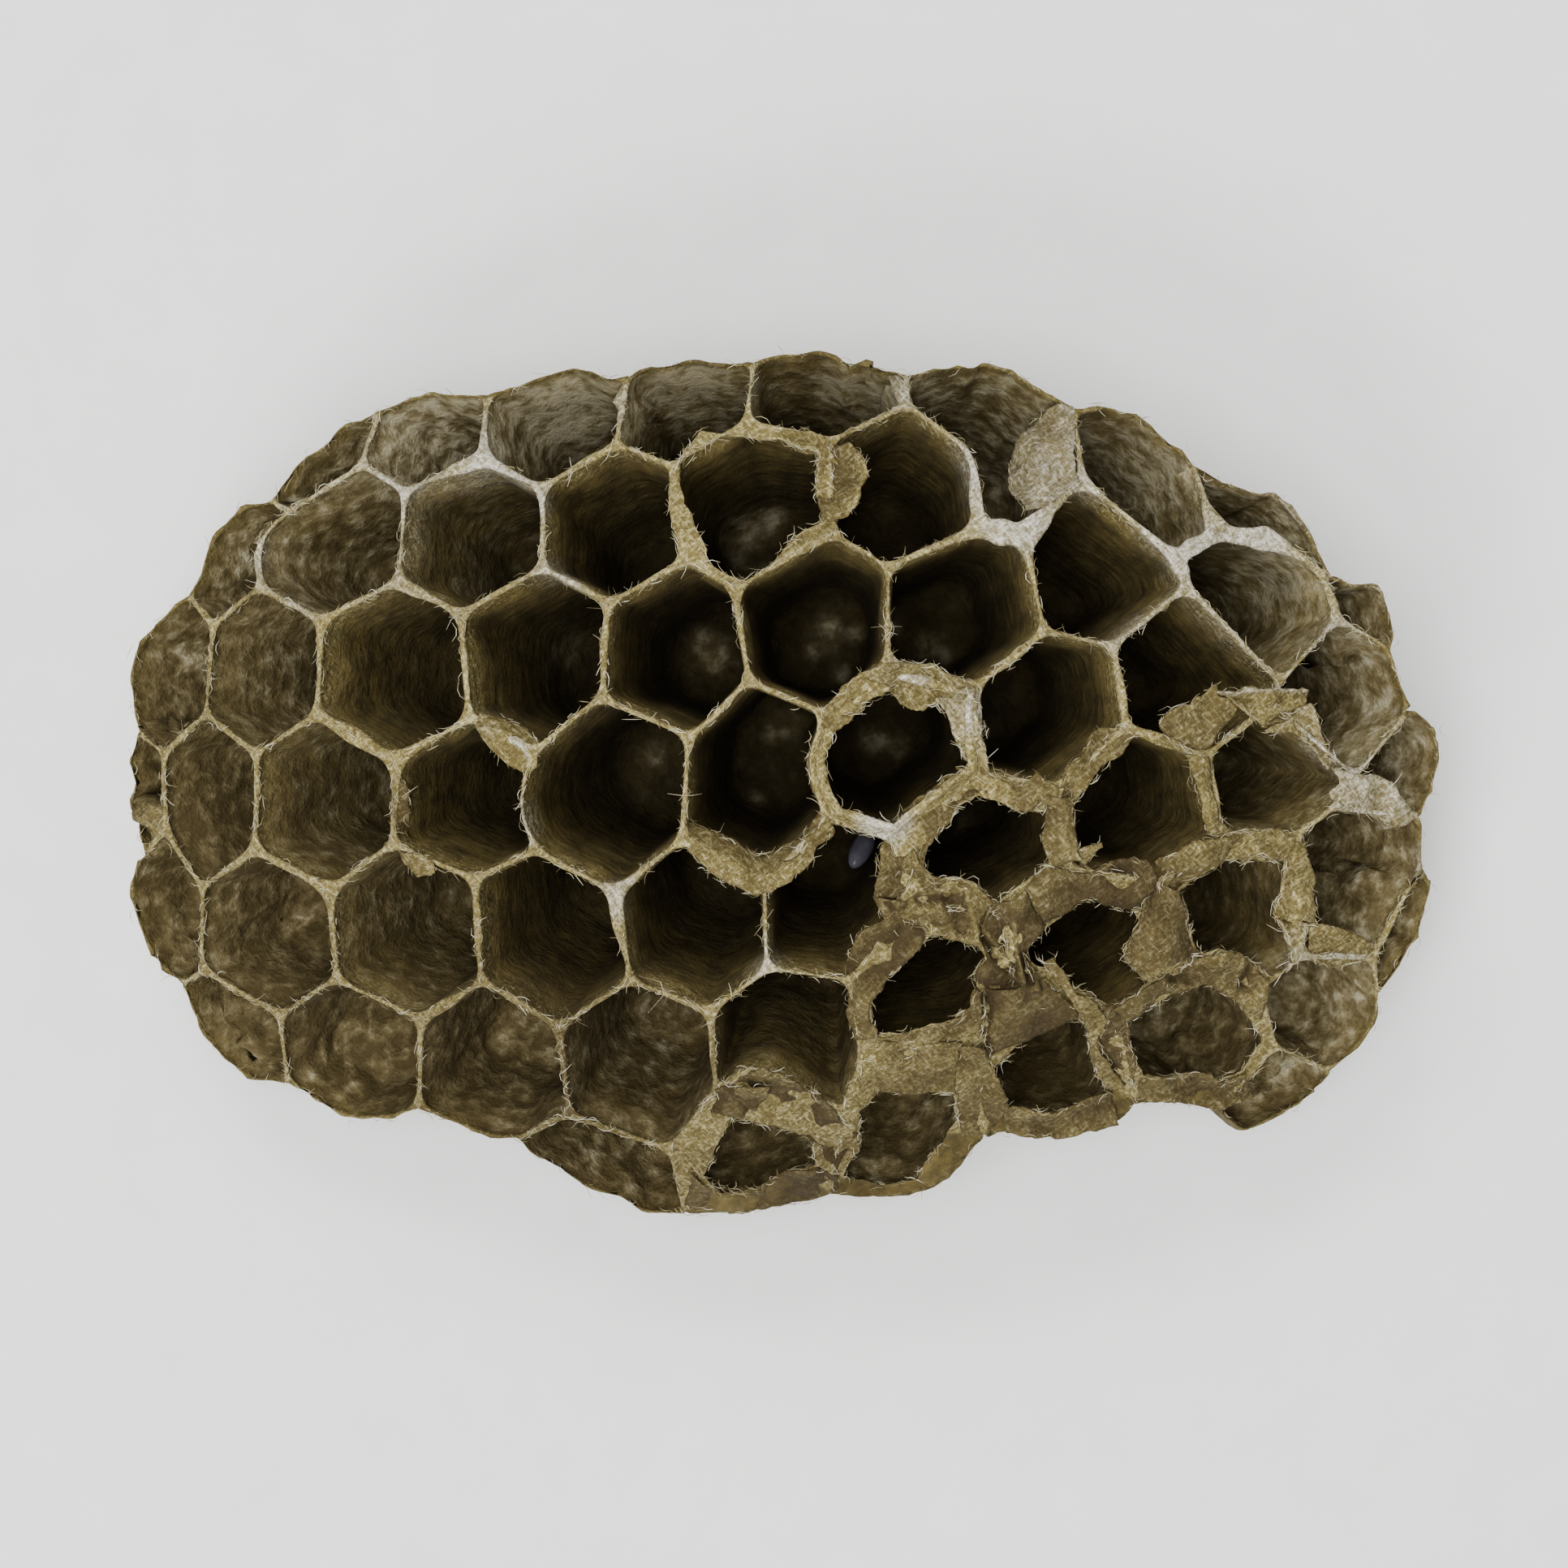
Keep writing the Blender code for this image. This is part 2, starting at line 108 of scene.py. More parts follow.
# the comb's edge as the photograph shows it, clockwise from the left
outerEdge = [
    (240, 735), (250, 700), (262, 660), (280, 645), (298, 620), (335, 618), (365, 575), (400, 550),
    (425, 525), (462, 508), (500, 495), (535, 483), (575, 487), (604, 488), (660, 465), (710, 453),
    (755, 468), (800, 450), (830, 449), (845, 443), (870, 445), (890, 449), (925, 447), (960, 438),
    (1010, 432), (1030, 438), (1045, 450), (1055, 457), (1100, 456), (1118, 463), (1150, 453), (1200, 455),
    (1212, 448), (1245, 455), (1275, 475), (1300, 490), (1320, 503), (1358, 500), (1400, 512), (1420, 525),
    (1440, 548), (1455, 555), (1475, 578), (1498, 592), (1520, 597), (1545, 608), (1570, 608), (1590, 622),
    (1605, 640), (1620, 665), (1637, 708), (1660, 718), (1700, 722), (1715, 760), (1719, 785), (1713, 800),
    (1722, 825), (1735, 865), (1760, 888), (1770, 900), (1773, 930), (1768, 960), (1750, 1005),
    (1752, 1060), (1763, 1090), (1755, 1130), (1740, 1165), (1715, 1200), (1700, 1220), (1695, 1260),
    (1675, 1290), (1640, 1320), (1600, 1360), (1545, 1390), (1530, 1393), (1515, 1382), (1500, 1368),
    (1450, 1357), (1405, 1357), (1392, 1370), (1375, 1383), (1310, 1398), (1280, 1403), (1235, 1393),
    (1200, 1412), (1165, 1455), (1130, 1470), (1090, 1477), (1030, 1470), (960, 1487), (920, 1495),
    (795, 1495), (780, 1480), (725, 1465), (680, 1432), (655, 1420), (640, 1402), (610, 1404), (555, 1382),
    (513, 1365), (480, 1380), (415, 1373), (380, 1345), (355, 1335), (307, 1328), (275, 1302), (250, 1275),
    (225, 1212), (190, 1190), (165, 1120), (160, 1100), (168, 1060), (185, 1048), (175, 1010), (157, 995),
    (167, 965), (160, 940), (172, 903), (165, 875), (160, 835), (170, 795), (200, 762), (225, 737),
]

combForm = {
    "segments": 12,  # along each side of a cell
    "lip": 0.125 * mm,  # half of a rim's width
    "lipRings": ((0.4, -0.02 * mm), (0.75, 0.035 * mm), (1.0, 0.13 * mm)),  # share of the width, and drop
    # waves in a rim's width: size, strength, and where the noise starts
    "lipVariety": ((0.9 * mm, 0.75, (0, 0, 0)), (2.7 * mm, 0.75, (5, 1, 0)), (0.4 * mm, 0.375, (2, 8, 0))),
    "rounding": (1, 2, 1, 2, 3),  # rim points on each side that round a corner: lip rings, walls, floor
    "outerFelt": 0.35,  # how much of the pale felt the rims along the comb's edge carry
    "wallHalf": 0.24 * mm,
    "cellRadius": 3.2 * mm,
    "wobble": 3.2,  # picture points that a rim wanders from the straight
    "wobbleWaves": ((34, 1.0), (12, 0.5)),  # size in picture points, and strength
    "cornerFade": 1.6,  # how soon after a corner a rim wanders and follows the comb's edge
    "outerBulge": 0.18 * mm,
    "outerReach": 16,  # picture points within which the outer rims follow the comb's edge
    "crest": 0.2 * mm,  # how unevenly high the rims stand
    "crestWaves": ((75, 1.0, 9.1), (21, 0.45, 4.4)),  # size in picture points, strength, start of the noise
    "underLip": 1.4 * mm,  # depth at which the wall has its own thickness
    "underDrop": 0.15 * mm,  # of the ring under the lip, and then of the ring under that
    "foldDrop": 0.2 * mm,
    "fold": 0.3,  # how far that ring has gone from the lip towards the wall
    "tornFold": 0.6,
    "wallRings": 8,
    "shoulder": 1.3 * mm,
    # share of the floor's width, and height
    "floorRings": ((0.9, 0.75 * mm), (0.72, 0.46 * mm), (0.52, 0.34 * mm), (0.32, 0.3 * mm), (0.12, 0.28 * mm)),
    "floorWidth": 0.93,
    "crumple": 0.07 * mm,
    "crumpleSize": 1.5 * mm,
    "cupLumps": 0.34 * mm,
    "wallLumpSize": 0.75 * mm,
    "floorLumpSize": 0.8 * mm,
    "lumpRate": 2.5,  # how fast the wall's lumps grow to their full size from the rim down
    "floorLumps": (0.9, 0.5),  # of the cup's lumps: on all floors, and added in the shallow cups
    "cups": (0.62, 0.87),  # the cells turn from deep ones to shallow cups between these shares of the edge
    "blotchShares": (0.05, 1.0),  # of the blotches, in the deepest cells and in the shallow cups
    "valley": 0.35 * mm,  # how far the back's valleys lie above the cells' bases
    "bump": 0.4 * mm,  # under each cell
    "bumpRise": (0.6, 1.4),  # where the bump starts and ends, as shares of the valley and of the bump
    "backRings": (0.78, 0.42),
    "skirtRings": 5,
    "skirtBulge": 0.3 * mm,
    "skirtWaves": 0.25 * mm,
    "thinnest": 0.18 * mm,  # paper left between a cell's wall and the comb's outer face
    "skinReach": 1.5 * mm,
    "steepest": 0.12,  # square of the level part of that face's direction, at least
    "merge": 0.002 * mm,
    "onRim": 0.03 * mm,
}
# what each ring of a cell carries, from the rim down: pale felt, and the blotches of the cups
ringFelt = (1.0, 1.0, 0.95, 0.62, 0.42, 0.3, 0.15, 0.0)
ringBlotches = (0.0, 0.0, 0.1, 0.6, 0.85, 0.95, 1.0)
outside = {"depthMm": 6, "cup": 0.5, "backDepthMm": 14}  # what the outer wall and the back carry
tornFelt = (0.6, 0.6, 0.7)  # of the felt, on the three rings of a torn mouth

collarCells = ((3, 5),)
collarForm = {
    "height": 1.2 * mm,
    "slope": 0.4 * mm,  # how far it leans in over its cell
    "bend": (0.55, 0.5),  # where the slope bends, as shares of the slope and of the height
    "lipWidth": 0.28 * mm,
    "lipDrop": 0.078 * mm,
}

# mouths that torn and folded paper leaves smaller than their cells: rise of the paper, and the mouth
tornMouths = {
    (1, 5): (0.3, [(1008, 562), (1004, 556), (985, 552), (960, 541), (925, 541), (880, 534), (864, 532),
        (850, 548), (839, 562), (838, 576), (840, 600), (843, 620), (852, 632), (860, 650), (866, 665),
        (871, 680), (868, 691), (885, 702), (900, 709), (917, 716), (940, 702), (955, 692), (965, 682),
        (973, 668), (985, 660), (1000, 650), (1014, 640), (1009, 620), (1006, 605), (1006, 590)]),
    (4, 5): (0.02, [(1205, 978), (1232, 988), (1255, 1000), (1275, 1002), (1290, 1000), (1291, 1030),
        (1296, 1058), (1275, 1076), (1250, 1096), (1235, 1107), (1228, 1114), (1213, 1101), (1205, 1092),
        (1195, 1086), (1185, 1082), (1170, 1082), (1150, 1084), (1138, 1068), (1143, 1045), (1160, 1020),
        (1180, 995)]),
    (5, 4): (-0.04, [(1149, 1150), (1165, 1154), (1180, 1162), (1200, 1163), (1212, 1175), (1214, 1182),
        (1203, 1192), (1200, 1200), (1204, 1220), (1198, 1229), (1198, 1240), (1187, 1243), (1180, 1250),
        (1170, 1257), (1150, 1262), (1130, 1271), (1112, 1274), (1093, 1271), (1078, 1276), (1072, 1255),
        (1073, 1235), (1070, 1226), (1080, 1220), (1100, 1200), (1120, 1178), (1140, 1158)]),
    (5, 5): (-0.2, [(1350, 1108), (1380, 1119), (1395, 1120), (1405, 1133), (1390, 1160), (1385, 1180),
        (1398, 1196), (1420, 1206), (1400, 1225), (1370, 1240), (1355, 1233), (1328, 1218), (1312, 1205),
        (1295, 1194), (1278, 1190), (1263, 1175), (1275, 1157), (1290, 1143), (1310, 1130), (1325, 1113)]),
    (5, 6): (-0.2, [(1503, 1059), (1520, 1061), (1535, 1063), (1560, 1057), (1583, 1060), (1582, 1080),
        (1578, 1105), (1570, 1130), (1578, 1138), (1588, 1158), (1594, 1180), (1580, 1198), (1565, 1205),
        (1545, 1188), (1530, 1177), (1505, 1169), (1480, 1175), (1468, 1155), (1462, 1130), (1460, 1118),
        (1451, 1102), (1475, 1082), (1500, 1066)]),
    (6, 2): (0.1, [(900, 1375), (935, 1382), (1000, 1400), (1003, 1436), (965, 1440), (940, 1462),
        (890, 1470), (865, 1450), (885, 1410)]),
    (6, 3): (-0.25, [(1085, 1345), (1175, 1347), (1182, 1375), (1140, 1435), (1130, 1455), (1075, 1460),
        (1040, 1450), (1060, 1410), (1058, 1372)]),
    (6, 4): (-0.3, [(1325, 1255), (1342, 1265), (1342, 1290), (1350, 1320), (1366, 1344), (1350, 1366),
        (1300, 1371), (1245, 1368), (1232, 1350), (1226, 1326), (1225, 1313), (1243, 1300), (1260, 1283),
        (1280, 1272), (1300, 1262)]),
    (6, 5): (-0.1, [(1480, 1209), (1495, 1215), (1522, 1230), (1540, 1255), (1556, 1280), (1530, 1320),
        (1495, 1330), (1410, 1330), (1398, 1305), (1390, 1280), (1388, 1260), (1405, 1248), (1440, 1228)]),
}

# where rims are broader than elsewhere: picture point, radius in points, added half-width in mm
broadRims = [
    (505, 738, 40, 0.22), (560, 760, 30, 0.12), (440, 905, 45, 0.16), (480, 925, 40, 0.18),
    (620, 905, 40, 0.3), (655, 935, 25, 0.2), (765, 1075, 35, 0.18), (755, 1130, 35, 0.16),
    (930, 1180, 40, 0.12), (400, 1090, 40, 0.16), (345, 1065, 30, 0.1), (540, 1245, 40, 0.14),
    (640, 1245, 50, 0.14), (1255, 635, 45, 0.26), (1460, 680, 45, 0.24), (1540, 665, 50, 0.12),
    (600, 590, 45, 0.14), (650, 610, 35, 0.16), (490, 620, 30, 0.12), (330, 690, 40, 0.16),
    (350, 735, 30, 0.1), (1280, 720, 40, 0.1), (1195, 580, 35, 0.08), (880, 895, 40, 0.08),
    (1230, 800, 50, 0.1), (1380, 850, 45, 0.1), (740, 1415, 60, 0.1), (700, 1300, 40, 0.06),
    (905, 715, 30, 0.16), (1000, 660, 35, 0.14), (1430, 915, 50, 0.22), (925, 530, 45, 0.1),
    (1225, 650, 60, 0.26), (1205, 605, 35, 0.14), (1480, 668, 50, 0.34), (1525, 650, 50, 0.26),
    (1440, 655, 35, 0.22), (1385, 745, 45, 0.12), (1560, 652, 60, 0.35), (1505, 662, 60, 0.25),
    (1620, 690, 40, 0.2), (1270, 650, 50, 0.2), (1330, 600, 30, 0.15), (585, 565, 40, 0.1),
    (390, 560, 30, 0.1), (430, 530, 30, 0.12), (1110, 690, 30, 0.1), (1600, 640, 50, 0.2),
    (1650, 760, 40, 0.14), (1330, 500, 40, 0.1), (1590, 700, 40, 0.1),
]
# paler (above 0) and darker (below 0) stretches of the shallow cups, the darker ones in the torn cells being
# painted shade under the torn paper: picture point, radius, amount
cupTonesAndShade = [
    (1280, 560, 120, 1.5), (1450, 560, 150, 1.2), (1610, 700, 170, 1.2), (1720, 880, 150, 0.8),
    (1100, 480, 120, 1.7), (860, 480, 120, 1.7), (700, 500, 150, 1.7), (530, 540, 150, 1.3),
    (1620, 1250, 200, 0.3), (240, 800, 130, -0.2), (235, 815, 20, 2.6), (300, 690, 26, 1.8),
    (362, 617, 13, 3.4), (865, 462, 34, 1.4), (800, 490, 16, 2), (1025, 478, 38, 1.5), (1085, 490, 25, 1),
    (1212, 482, 24, 1.8), (1240, 470, 18, 1.6), (700, 520, 60, 0.6), (1330, 545, 40, 1.2),
    (1400, 600, 60, 1), (1560, 720, 60, 0.8), (1500, 1290, 90, -1.2), (1290, 1320, 90, -1.6),
    (930, 1425, 70, -1), (1110, 1405, 60, -1), (1360, 1180, 90, -1.6), (1530, 1130, 90, -1),
    (230, 1000, 220, -1.1), (350, 1230, 220, -0.9), (550, 1340, 240, -0.9), (850, 1430, 200, -0.4),
]
# pale crumbs and silk seen on the floors of the deep cells: picture point, radius, amount
floorSpots = [
    (872, 800, 26, 0.55), (886, 822, 20, 0.45), (1022, 772, 15, 0.6), (1015, 792, 22, 0.35),
    (1054, 781, 14, 0.45), (997, 802, 10, 0.5), (1038, 832, 14, 0.5), (1108, 772, 16, 0.35),
    (1143, 792, 18, 0.5), (1165, 806, 12, 0.35), (952, 905, 20, 0.35), (976, 893, 18, 0.35),
    (935, 986, 12, 0.4), (1085, 912, 18, 0.55), (1108, 922, 16, 0.5), (1064, 905, 14, 0.35),
    (804, 930, 18, 0.45), (905, 655, 26, 0.45), (935, 650, 26, 0.5), (960, 640, 18, 0.45),
    (925, 690, 30, 0.4), (1185, 1010, 14, 0.3), (570, 720, 40, 0.25), (690, 800, 30, 0.2),
]
# whiter (above 0) and browner (below 0) places: whiter and browner paper, with painted shade among the torn
# paper: picture point, radius, amount
tonesAndShade = [
    (1500, 720, 230, 0.35), (1240, 600, 130, 0.35), (1680, 930, 150, 0.25), (500, 620, 220, 0.35),
    (230, 950, 260, -0.2), (400, 1180, 260, -0.3), (700, 1340, 280, -0.75), (480, 850, 260, -0.05),
    (1150, 1170, 170, -0.35), (1320, 1220, 190, -0.35), (1420, 1110, 150, -0.25), (1000, 1420, 190, -0.5),
    (1500, 1270, 170, -0.25), (1230, 1020, 120, -0.15), (610, 590, 60, 0.9), (655, 620, 40, 0.9),
    (490, 600, 40, 0.7), (600, 540, 40, 0.5), (330, 690, 50, 0.6), (370, 740, 40, 0.5), (690, 715, 50, 0.7),
    (620, 905, 60, 0.8), (650, 1010, 40, 0.5), (1090, 1015, 50, 0.9), (1190, 880, 40, 0.9),
    (1255, 640, 60, 0.8), (1190, 590, 60, 0.6), (1340, 600, 40, 0.6), (1470, 680, 50, 1),
    (1550, 665, 60, 0.7), (1430, 650, 40, 0.7), (1380, 770, 50, 0.4), (1690, 980, 60, 1),
    (1625, 920, 40, 0.8), (1700, 730, 40, 0.4), (1740, 1060, 40, 0.6), (1610, 1080, 40, 0.6),
    (1650, 1165, 50, 0.7), (1590, 1180, 30, 0.7), (945, 480, 40, 0.5), (765, 500, 40, 0.4),
    (1110, 480, 40, 0.5), (765, 1110, 50, 0.6), (940, 1180, 50, 0.6), (1120, 1190, 50, 0.3),
    (1000, 1040, 50, 0.5), (1120, 830, 40, 0.7), (1650, 790, 50, 0.5), (1590, 620, 50, 0.5),
    (515, 1058, 16, -1), (1270, 1250, 60, -0.4), (1180, 1310, 50, -0.2), (870, 1440, 40, -0.2),
]


def flatPlace(point):
    return Vector((point[0] - photo["middle"], photo["middle"] - point[1])) * photo["pointWidth"]


crown = flatPlace(dome["crownPoint"])
upright = flatPlace(dome["uprightPoint"])


def edgeShare(flat):  # 0 at the crown, 1 at the comb's edge
    off = flat - crown
    return min(math.hypot(off.x / dome["halfLength"], off.y / dome["halfWidth"]), dome["furthest"])


def onDome(point, raised=0.0):
    flat = flatPlace(point)
    height = dome["crownHeight"] - dome["rimDrop"] * edgeShare(flat) ** dome["dropPower"] + raised
    spread = 1 + (dome["crownHeight"] - height) / photo["viewDistance"]
    return Vector((flat.x * spread, flat.y * spread, height))


def picturePoint(place):
    flat = Vector(place[:2]) / (1 + (dome["crownHeight"] - place[2]) / photo["viewDistance"])
    across, up = flat / photo["pointWidth"]
    return Vector((photo["middle"] + across, photo["middle"] - up))


def lean(place):  # how far the wall under a rim point moves out for each metre that it rises
    flat = Vector(place[:2])
    out = (flat - crown).normalized() if (flat - crown).length > 0 else Vector((0, 0))
    nearEdge = edgeShare(flat) ** dome["leanPower"]
    return (flat - upright) / dome["fanRadius"] + out * dome["edgeLean"] * nearEdge


def baseOf(place):
    height = dome["baseHeight"] + dome["baseRise"] * edgeShare(Vector(place[:2])) ** 2
    slide = lean(place) * (place[2] - height)
    return Vector((place[0] - slide.x, place[1] - slide.y, height))


def cornerPoint(corner):
    first, points = rimLines[corner[0]]
    return Vector(points[corner[1] - first])


def cellCorners(cell):  # counter-clockwise seen from above, as (line, step)
    row, middle = cell[0], 2 * cell[1]
    above = [(row, middle + 2), (row, middle + 1), (row, middle)]
    return above + [(row + 1, middle - 1), (row + 1, middle), (row + 1, middle + 1)]


allCells = [(row, column) for row, (first, last) in cellRows.items() for column in range(first, last + 1)]
rimUses = {}
for cell in allCells:
    corners = cellCorners(cell)
    for pair in zip(corners, corners[1:] + corners[:1]):
        rimUses[tuple(sorted(pair))] = rimUses.get(tuple(sorted(pair)), 0) + 1


def meanOf(places):
    return sum(places, places[0] * 0) / len(places)


def crossing(outline, centre, toward):  # where the way from a centre to a point, and on, meets an outline
    reach = (toward - centre).length
    best = None
    for one, other in zip(outline, outline[1:] + outline[:1]):
        one, other = Vector(one), Vector(other)
        side = other - one
        way = toward - centre
        turn = way.x * side.y - way.y * side.x
        if abs(turn) < 1e-9:
            continue
        off = one - centre
        along = (off.x * side.y - off.y * side.x) / turn
        across = (off.x * way.y - off.y * way.x) / turn
        if along > 0 and 0 <= across <= 1:
            hit = centre + way * along
            if best is None or abs((hit - centre).length - reach) < abs((best - centre).length - reach):
                best = hit
    return best


def wander(point, waveList):  # a smooth random offset, the same at the same picture point
    total = Vector((0, 0))
    for size, strength in waveList:
        spot = Vector((point.x / size, point.y / size, 3.7))
        total += Vector((noise.noise(spot), noise.noise(spot + Vector((31.4, 7.1, 0))))) * strength
    return total


def rimPoints(one, other, centre, count):  # picture points from one corner to just before the other
    key = tuple(sorted((one, other)))
    a, b = cornerPoint(key[0]), cornerPoint(key[1])
    middle = (a + b) / 2
    outer = rimUses[key] == 1
    bow = Vector(bowedRims[key]) - middle if key in bowedRims else Vector((0, 0))
    if outer and key not in bowedRims:
        bow = (middle - centre).normalized() * combForm["outerBulge"] / photo["pointWidth"]
    points = []
    for step in range(count + 1):
        t = step / count
        point = a.lerp(b, t) + bow * 4 * t * (1 - t)
        fade = min(1, 4 * t * (1 - t) * combForm["cornerFade"])
        if outer and 0 < step < count:
            hit = crossing(outerEdge, centre, point)
            if hit and (hit - point).length < combForm["outerReach"]:
                point = point.lerp(hit, fade)
        point += wander(point, combForm["wobbleWaves"]) * combForm["wobble"] * fade
        points.append(point)
    if key[0] != one:
        points.reverse()
    return points[:-1]


def cellOutline(cell, count):
    corners = cellCorners(cell)
    centre = meanOf([cornerPoint(corner) for corner in corners])
    points = []
    for one, other in zip(corners, corners[1:] + corners[:1]):
        points += rimPoints(one, other, centre, count)
    return points


def rimPlace(point):  # a rim is not quite level: it stands up and sinks a little along its way
    rise = 0
    for size, strength, start in combForm["crestWaves"]:
        rise += strength * noise.noise(Vector((point.x / size, point.y / size, start)))
    return onDome(point, rise * combForm["crest"])


def joinAll(things, name):
    bpy.ops.object.select_all(action="DESELECT")
    for thing in things:
        thing.select_set(True)
    bpy.context.view_layer.objects.active = things[0]
    if len(things) > 1:
        bpy.ops.object.join()
    joined = bpy.context.object
    joined.name = joined.data.name = name
    return joined


def triangles(thing):
    return sum(len(face.vertices) - 2 for face in thing.data.polygons)


def addCellFace(cell):  # a filled circle at the cell's place, its points moved out onto the rims
    outline = cellOutline(cell, combForm["segments"])
    bpy.ops.mesh.primitive_circle_add(vertices=len(outline), radius=combForm["cellRadius"], fill_type="NGON",
                                      location=rimPlace(meanOf(outline)))
    bpy.ops.object.transform_apply(location=True)
    made = bpy.context.object
    for vert, point in zip(made.data.vertices, outline):
        vert.co = rimPlace(point)
    return made


def spotSum(spots, point):  # what a list of spots adds at a picture point, fading to nothing at their radius
    total = 0
    for x, y, radius, amount in spots:
        apart = math.hypot(point.x - x, point.y - y) / radius
        if apart < 1:
            total += amount * (1 - apart * apart) ** 2
    return total


def wallPlace(wall, centre, share, half):  # share of the way down from the rim, half a wall inside it
    place = wall.lerp(baseOf(wall), share)
    inward = centre.lerp(baseOf(centre), share) - place
    inward.z = 0
    return place + inward.normalized() * half


def waves(place, size, start=(0, 0, 0)):  # smooth noise from about -1 to 1
    return noise.noise(place / size + Vector(start))


def crumpled(place, amount, size=combForm["crumpleSize"]):
    return place + noise.noise_vector(place / size) * amount


def dented(place, middle, amount, size):  # crumpled, but never out through the comb's outer wall
    push = noise.noise_vector(place / size) * amount
    out = place - middle
    out.z = 0
    out.normalize()
    return place + push - out * max(0, push.dot(out)) * 2


def insideSkin(place, middle):  # moved in, level, where less than the thinnest paper would be left
    hit, facing, _, _ = skin.find_nearest(place, combForm["skinReach"])
    if hit is None:
        return place
    if facing.dot(hit - middle) < 0:
        facing = -facing
    level = Vector((facing.x, facing.y, 0))
    missing = max(0, combForm["thinnest"] - (hit - place).dot(facing))
    return place - level / max(combForm["steepest"], level.length_squared) * missing


lipEdges = []  # the mouths of the collar and of the torn cells, which grow fibres too


def collarRings(walls, centre):
    height, slope = collarForm["height"], collarForm["slope"]
    bendIn, bendUp = collarForm["bend"]
    lip = (slope + collarForm["lipWidth"], height - collarForm["lipDrop"])
    steps = [(slope * bendIn, height * bendUp), (slope, height), lip]
    rings = []
    for inset, rise in steps:
        moved = [wall + (centre - wall).normalized() * inset for wall in walls]
        rings.append([crumpled(Vector((place.x, place.y, wall.z + rise)), combForm["crumple"])
                      for place, wall in zip(moved, walls)])
    return rings


tornForm = {
    "waves": ((9, 1.0), (25, 1.0)),  # size in picture points, and strength
    "wobbleShare": 0.7,  # of the wobble of a rim
    "steps": (0.35, 0.7, 1.0),  # rings between the wall and the mouth
    "sag": 0.35,  # of the paper's width
    "sagLeast": 0.4,
    "sagSize": 2 * mm,  # of the waves in it
    "deepest": 0.6 * mm,
    "crumple": 0.2,
    "crumpleEnd": 1.3,  # it fades towards the mouth, and would end at this share of the way
    "mostCrumple": 0.35 * mm,
}


def tornRings(cell, walls):
    rise, outline = tornMouths[cell]
    middle = meanOf([Vector(point) for point in outline])
    edge = []
    for wall in walls:
        hit = crossing(outline, middle, picturePoint(wall))
        hit += wander(hit, tornForm["waves"]) * combForm["wobble"] * tornForm["wobbleShare"]
        place = rimPlace(hit)
        place.z += (place - wall).length * rise
        edge.append(place)
    rings = []
    for share in tornForm["steps"]:
        ring = []
        for wall, lipPlace in zip(walls, edge):
            place = wall.lerp(lipPlace, share)
            width = (wall - lipPlace).length
            sag = min(width * tornForm["sag"], tornForm["deepest"])
            sag *= tornForm["sagLeast"] + waves(place, tornForm["sagSize"])
            place.z -= sag * math.sin(math.pi * share)
            crumple = min(width * tornForm["crumple"], tornForm["mostCrumple"])
            ring.append(crumpled(place, crumple * (tornForm["crumpleEnd"] - share)))
        rings.append(ring)
    return rings


def lipRings(cell, walls, centre):  # three rings from the rim's middle to the edge of the mouth
    if cell in collarCells:
        return collarRings(walls, centre)
    if cell in tornMouths:
        return tornRings(cell, walls)
    rings = []
    first, second = combForm["rounding"][:2]
    for (share, drop), reach in zip(combForm["lipRings"], (first, second, second)):
        ring = []
        for wall in walls:
            width = combForm["lip"] + spotSum(broadRims, picturePoint(wall)) * mm
            for size, strength, start in combForm["lipVariety"]:
                width *= 1 + strength * waves(wall, size, start)
            place = wallPlace(wall, centre, 0, width * share)
            place.z -= drop
            ring.append(place)
        rings.append(rounded(ring, reach))
    return rings


def outerShare(centre):  # 0 in the middle of the comb and 1 in the shallow cups along its edge
    first, last = combForm["cups"]
    return max(0.0, min(1.0, (edgeShare(Vector(centre[:2])) - first) / (last - first)))


def rounded(ring, reach):  # pulp fills a cell's corners: each place moves to the middle of its neighbours
    count = len(ring)
    return [meanOf([ring[(number + step) % count] for step in range(-reach, reach + 1)])
            for number in range(count)]


def cellRings(cell, walls):  # every ring of a cell, from its rim to the middle of its floor
    form = combForm
    centre = meanOf(walls)
    floorCentre = baseOf(centre)
    depth = centre.z - floorCentre.z
    outer = outerShare(centre)
    rings = lipRings(cell, walls, centre)
    if cell in collarCells or cell in tornMouths:
        lipEdges.append(rings[-1])
    lips = rings[-1]
    start = form["underLip"] / depth
    targets = [wallPlace(wall, centre, start, form["wallHalf"]) for wall in walls]
    targets = rounded(targets, form["rounding"][2])
    fold = form["tornFold"] if cell in tornMouths else form["fold"]
    under = [insideSkin(lip - Vector((0, 0, form["underDrop"])), centre) for lip in lips]
    rings.append(under)
    rings.append([insideSkin(one.lerp(other, fold) - Vector((0, 0, form["foldDrop"])), centre)
                  for one, other in zip(under, targets)])
    end = 1 - form["shoulder"] / depth
    for step in range(form["wallRings"]):
        share = start + (end - start) * step / (form["wallRings"] - 1)
        lump = form["cupLumps"] * outer * min(1, share * form["lumpRate"])
        reach = form["rounding"][2 + (step > 1) + (step > 3)]
        ring = rounded([wallPlace(wall, centre, share, form["wallHalf"]) for wall in walls], reach)
        middle = centre.lerp(floorCentre, share)
        ring = [crumpled(place, form["crumple"]) for place in ring]
        ring = [dented(place, middle, lump, form["wallLumpSize"]) for place in ring]
        rings.append([insideSkin(place, middle) for place in ring])
    for share, height in form["floorRings"]:
        up = Vector((0, 0, height))
        ring = [floorCentre.lerp(baseOf(wall), share * form["floorWidth"]) + up for wall in walls]
        amount = form["cupLumps"] * (form["floorLumps"][0] + form["floorLumps"][1] * outer)
        rings.append([crumpled(place, amount, form["floorLumpSize"]) for place in ring])
    return rings


